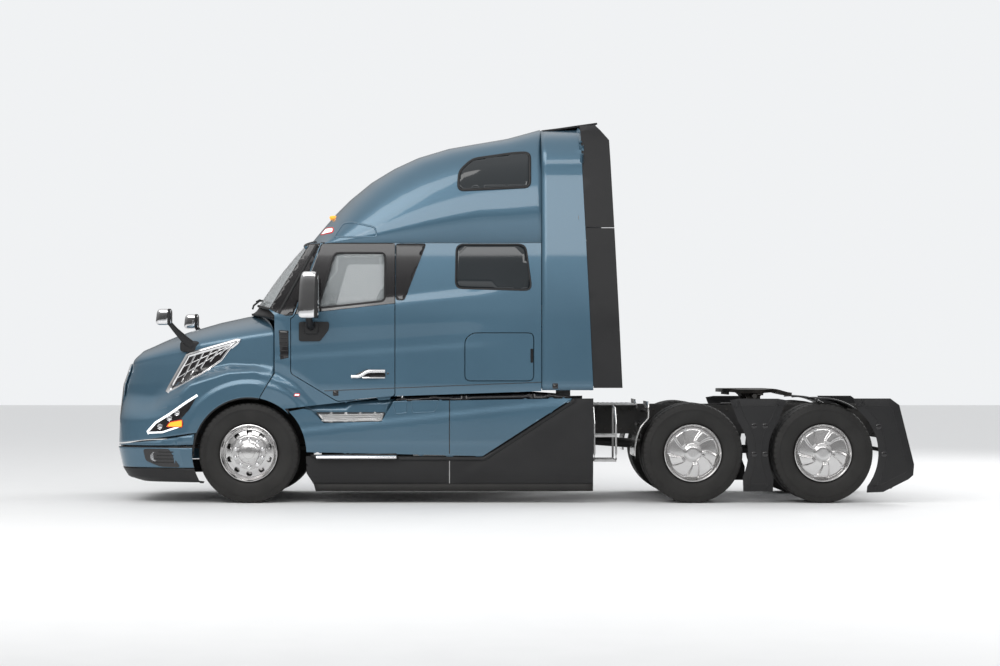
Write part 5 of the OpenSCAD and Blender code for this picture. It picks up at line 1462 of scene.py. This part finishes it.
piece("backWallLining",
      grid(np.stack([np.stack([np.full(2, seamX + 0.455 - (z - 1.2) * 0.047), np.array([-1.10, 1.10])
                               * (1 if z < 3 else 0.88), np.full(2, z)], -1) for z in (1.2, 2.0, 2.9,
        3.5)])), "trim", "chassis", thick=0.006)

dash = at(doorX, [(-0.141, 1.505), (0.069, 1.560), (0.141, 1.650), (0.147, 1.745), (0.109, 1.835),
                  (0.039, 1.872), (-0.051, 1.885), (-0.146, 1.885)])
dash = rounded(dash, 0.03, 5)
ys = np.array([-1.11, -1.09, -0.95, -0.80, -0.42, -0.28, 0.30, 0.9, 1.09, 1.11])
swell = np.array([0.0, 0.6, 0.8, 1.0, 1.0, 0.7, 0.55, 0.6, 0.5, 0.0])
rows = np.stack([np.stack([dash[:, 0] + 0.03 * k * (dash[:, 0] > doorX - 0.05), np.full(len(dash), y),
                           dash[:, 1] - 0.015 * (1 - k)], -1) for y, k in zip(ys, swell)])
dashShape = grid(rows, closeCols=True)
n = len(dash)
dashShape = dashShape[0], dashShape[1].tolist() + [list(range(n))[::-1],
                                                   list(range((len(ys) - 1) * n, len(ys) * n))]
piece("dashboard", dashShape, "trim", "chassis", ["dashboard"], bevel=0.004)
piece("dashTop", joined(lobe((doorX + 0.075, -0.58, 1.885), (0.09, 0.26, 0.045), 0.6, 0.5)), "plastic",
      "chassis")
piece("gaugeScreen", turned(block((doorX + 0.112, -0.75, 1.77), (doorX + 0.120, -0.42, 1.87)),
                            (doorX + 0.115, -0.58, 1.82), (0, 1, 0), -14), "darkGlass", "chassis",
      bevel=0.003)
piece("centreScreen", turned(block((doorX + 0.135, -0.24, 1.69), (doorX + 0.145, 0.04, 1.83)),
                             (doorX + 0.14, -0.1, 1.76), (0, 1, 0), -14), "darkGlass", "chassis",
      bevel=0.003)
knobs = [lathe([(0.0005, doorX + 0.172), (0.014, doorX + 0.170), (0.017, doorX + 0.160),
                (0.018, doorX + 0.14)], (0, y, 1.665), axis="x", steps=20) for y in (-0.22, -0.16, -0.10,
        -0.04)]
vents = [block((doorX + 0.138, y, z), (doorX + 0.156, y + 0.16, z + 0.008)) for y in (0.16, 0.46, 0.78)
         for z in (1.735, 1.752, 1.769, 1.786)]
piece("dashKnobs", joined(*knobs, *vents), "plastic", "chassis", bevel=0.001)

wheelAt = np.array([doorX + 0.350, -0.58, 1.83])
rim = lathe([(0.215 + 0.016 * math.cos(a), 0.016 * math.sin(a)) for a in np.linspace(0, 2 * math.pi, 17)],
            wheelAt, axis="z", steps=64)
spokes = []
for a in (0, 125, 235):
    c, sn = math.cos(math.radians(a)), math.sin(math.radians(a))
    spokes.append(tube([wheelAt + [c * r, sn * r, z] for r, z in ((0.04, -0.012), (0.11, -0.014),
            (0.17, -0.008), (0.212, 0.0))], [0.026, 0.020, 0.017, 0.014], 12, squash=0.5))
hubShape = lobe(wheelAt + [0, 0, 0.0], (0.068, 0.075, 0.026), 0.6, 0.7)
column = tube([wheelAt + [0, 0, -0.02], wheelAt + [0, 0, -0.12], wheelAt + [0.0, 0, -0.188]],
              [0.030, 0.036, 0.045], 20, up=(1, 0, 0))
piece("steeringWheel", turned(joined(rim, *spokes, hubShape, column), wheelAt, (0, 1, 0), 35), "plastic",
      "chassis", ["steering_wheel"])

sitX = doorX + 0.640
padCap = {"seat": 0.010, "bunk": 0.012}
pads = []


def padPiece(name, shape, finish, body, nodes, voxel, cap, pressure=4.0):
    # remeshed, swelled by air pressure, how far a point may move capped, then smoothed once
    obj = piece(name, shape, finish, body, nodes)
    bpy.context.view_layer.objects.active = obj
    for other in bpy.context.selected_objects:
        other.select_set(False)
    obj.select_set(True)
    remesh = obj.modifiers.new("remesh", "REMESH")
    remesh.mode = "VOXEL"
    remesh.voxel_size = voxel
    bpy.ops.object.modifier_apply(modifier="remesh")
    count = len(obj.data.vertices)
    start = np.empty(count * 3, np.float32)
    obj.data.vertices.foreach_get("co", start)
    start = start.reshape(-1, 3)
    scene.frame_set(1)
    cloth = obj.modifiers.new("air", "CLOTH")
    cloth.settings.use_pressure = True
    cloth.settings.uniform_pressure_force = pressure
    cloth.settings.effector_weights.gravity = 0
    cloth.settings.quality = 5
    cloth.point_cache.frame_start, cloth.point_cache.frame_end = 1, 20
    for f in range(1, 21):
        scene.frame_set(f)
        bpy.context.view_layer.update()
    evaluated = obj.evaluated_get(bpy.context.evaluated_depsgraph_get())
    end = np.empty(count * 3, np.float32)
    evaluated.data.vertices.foreach_get("co", end)
    move = end.reshape(-1, 3) - start
    length = np.linalg.norm(move, axis=1)
    move *= np.minimum(1, cap / np.maximum(length, 1e-9))[:, None]
    obj.modifiers.remove(cloth)
    obj.data.vertices.foreach_set("co", (start + move).ravel())
    obj.data.update()
    scene.frame_set(1)
    obj.data.shade_smooth()
    surf = obj.modifiers.new("surface", "SUBSURF")
    surf.levels = surf.render_levels = 1
    bpy.ops.object.modifier_apply(modifier="surface")
    pads.append(obj)
    return obj


for side, sign in (("Left", -1), ("Right", 1)):
    y = 0.58 * sign
    cushion = lobe((sitX - 0.020, y, 1.552), (0.225, 0.232, 0.052), 0.45, 0.35, 16, 36)
    bolsters = [lobe((sitX - 0.02, y + k * 0.205, 1.575), (0.215, 0.040, 0.048), 0.5, 0.4, 14, 26)
                for k in (-1, 1)]
    padPiece("seatCushion" + side, joined(cushion, *bolsters), "cloth", "chassis", ["seats"], 0.011,
             padCap["seat"])
    leanBack = lambda shape: turned(shape, (sitX + 0.19, y, 1.64), (0, 1, 0), 11)
    back = lobe((sitX + 0.205, y, 1.940), (0.048, 0.215, 0.300), 0.4, 0.4, 24, 32)
    wings = [lobe((sitX + 0.180, y + k * 0.190, 1.930), (0.048, 0.040, 0.270), 0.4, 0.5, 22, 22)
             for k in (-1, 1)]
    padPiece("seatBack" + side, leanBack(joined(back, *wings)), "cloth", "chassis", [], 0.011,
             padCap["seat"])
    padPiece("headRest" + side, turned(lobe((sitX + 0.335, y, 2.320), (0.040, 0.110, 0.068), 0.5, 0.5, 16,
                                            28), (sitX + 0.335, y, 2.32), (0, 1, 0), 11), "cloth",
             "chassis", [], 0.011, padCap["seat"])
    posts = [tube([(sitX + 0.310, y + k * 0.05, 2.22), (sitX + 0.325, y + k * 0.05, 2.29)], 0.006, 8)
             for k in (-1, 1)]
    shellBack = leanBack(lobe((sitX + 0.240, y, 1.930), (0.030, 0.200, 0.285), 0.35, 0.35, 20, 28))
    tray = lobe((sitX - 0.02, y, 1.505), (0.235, 0.238, 0.026), 0.3, 0.3, 12, 30)
    pedestal = [lobe((sitX, y, 1.225), (0.175, 0.135, 0.022), 0.3, 0.25, 10, 30)]
    folds = [lobe((sitX, y, z), (0.150 + 0.012 * (k % 2), 0.118 + 0.012 * (k % 2), 0.024), 0.6, 0.3, 10,
                  30) for k, z in enumerate(np.linspace(1.26, 1.47, 9))]
    piece("seatFrame" + side, joined(*posts, shellBack, tray, *pedestal), "plastic", "chassis")
    piece("seatBellows" + side, joined(*folds), "skirt", "chassis")
    arm = tube([(sitX + 0.20, y - sign * 0.235, 1.735), (sitX + 0.05, y - sign * 0.245, 1.745),
                (sitX - 0.10, y - sign * 0.245, 1.742)], [0.020, 0.026, 0.022], 12, up=(0, 1, 0))
    piece("armRest" + side, arm, "plastic", "chassis")
    belt = [(sitX + 0.33, y + sign * 0.26, 2.16), (sitX + 0.27, y + sign * 0.25, 1.95),
            (sitX + 0.20, y + sign * 0.245, 1.72), (sitX + 0.17, y + sign * 0.245, 1.56)]
    piece("seatBelt" + side, tube(belt, 0.022, 8, up=(0, 1, 0), squash=0.12), "skirt", "chassis")

bLow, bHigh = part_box("bunk_base")
mxLow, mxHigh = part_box("mattress")
padPiece("bunkMattress", lobe(((mxLow.x + mxHigh.x) / 2, 0, (mxLow.z + mxHigh.z) / 2),
                              ((mxHigh.x - mxLow.x) / 2 - 0.012, mxHigh.y - 0.012, 0.058), 0.25, 0.12, 16,
                              72), "linen", "chassis", ["mattress"], 0.02, padCap["bunk"], 3.0)
padPiece("bunkPillow", lobe((mxLow.x + 0.55, 0.85, 2.005), (0.30, 0.17, 0.055), 0.6, 0.35, 16, 40),
         "linen", "chassis", [], 0.012, 0.014)
piece("bunkBoard", joined(block((bLow.x, bLow.y + 0.01, 1.78), (bHigh.x, bHigh.y - 0.01, 1.80)),
                          block((bLow.x, bLow.y + 0.02, 1.73), (bLow.x + 0.02, bHigh.y - 0.02, 1.78))),
      "trim", "chassis", ["bunk_base"], bevel=0.004)
print("stage: interior")

#TAIL
# running gear seen from behind and below: air springs, dampers, rail bolts
springs, dampers = [], []
for x in (driveX - 0.36, driveX + 0.36, rearX - 0.36, rearX + 0.36):
    t = np.linspace(0, 1, 25)
    bellows = np.stack([0.066 + 0.010 * np.cos(6 * math.pi * t), 0.44 + 0.24 * t], 1)
    springs.append(lathe(np.vstack([[0.001, 0.44], bellows, [0.001, 0.68]]), (x, -0.505, 0), "z", 32))
for x in (driveX, rearX):
    dampers.append(tube([(x + 0.12, -0.51, 0.44), (x + 0.16, -0.505, 0.66)], 0.032, 14))
    dampers.append(tube([(x + 0.16, -0.505, 0.66), (x + 0.20, -0.50, 0.90)], 0.024, 14))
pair("airSprings", joined(*springs), "skirt")
pair("dampers", joined(*dampers), "chassis")
railBolts = [boltAt(x, 0.4325, z, 0.009, 0.012) for x in np.arange(seamX + 0.60, tailX - 0.10, 0.085)
             for z in (0.735, 0.935)]
pair("railBolts", mirrored(joined(*railBolts)), "iron")

# engine bay, seen with the hood tipped: rocker cover, intake duct, hoses
engineLow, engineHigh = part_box("engine")
engineTop = engineHigh.z
piece("rockerCover", lobe((engineLow.x + 1.05, 0, engineTop + 0.005), (0.62, 0.17, 0.075), 0.35, 0.2, 20,
                          60), "gloss", "chassis")
ribs = [block((engineLow.x + 0.5 + 0.11 * k, -0.14, engineTop + 0.066), (engineLow.x + 0.525 + 0.11 * k,
        0.14, engineTop + 0.088)) for k in range(11)]
piece("rockerRibs", joined(*ribs), "satin", "chassis", bevel=0.004)
duct = [(engineLow.x + 1.5, 0.30, engineTop - 0.05), (engineLow.x + 1.1, 0.33, engineTop + 0.01),
        (engineLow.x + 0.6, 0.32, engineTop - 0.06), (engineLow.x + 0.28, 0.30, engineTop - 0.30)]
piece("intakeDuct", tube(duct, 0.065, 20), "plastic", "chassis")
hoses = [tube([(engineLow.x + 0.02, y, engineTop - 0.16), (engineLow.x + 0.20, y * 0.9, engineTop - 0.10),
               (engineLow.x + 0.42, y * 0.6, engineTop - 0.04)], 0.032, 14) for y in (-0.30, -0.18)]
piece("coolantHoses", joined(*hoses), "skirt", "chassis")
print("stage: running gear and engine")

# the frame pieces that still show take a finish of their own
bareFinish = {"engine": "iron", "knuckle_left": "iron", "knuckle_right": "iron", "tie_rod": "iron",
              "front_axle": "iron", "fuel_tanks": "satin", "cab_floor": "trim", "fifth_wheel_base": "grease"}
for name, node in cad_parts.items():
    if not node.hide_render:
        node.data.materials.clear()
        node.data.materials.append(materials[bareFinish.get(name, "chassis")])
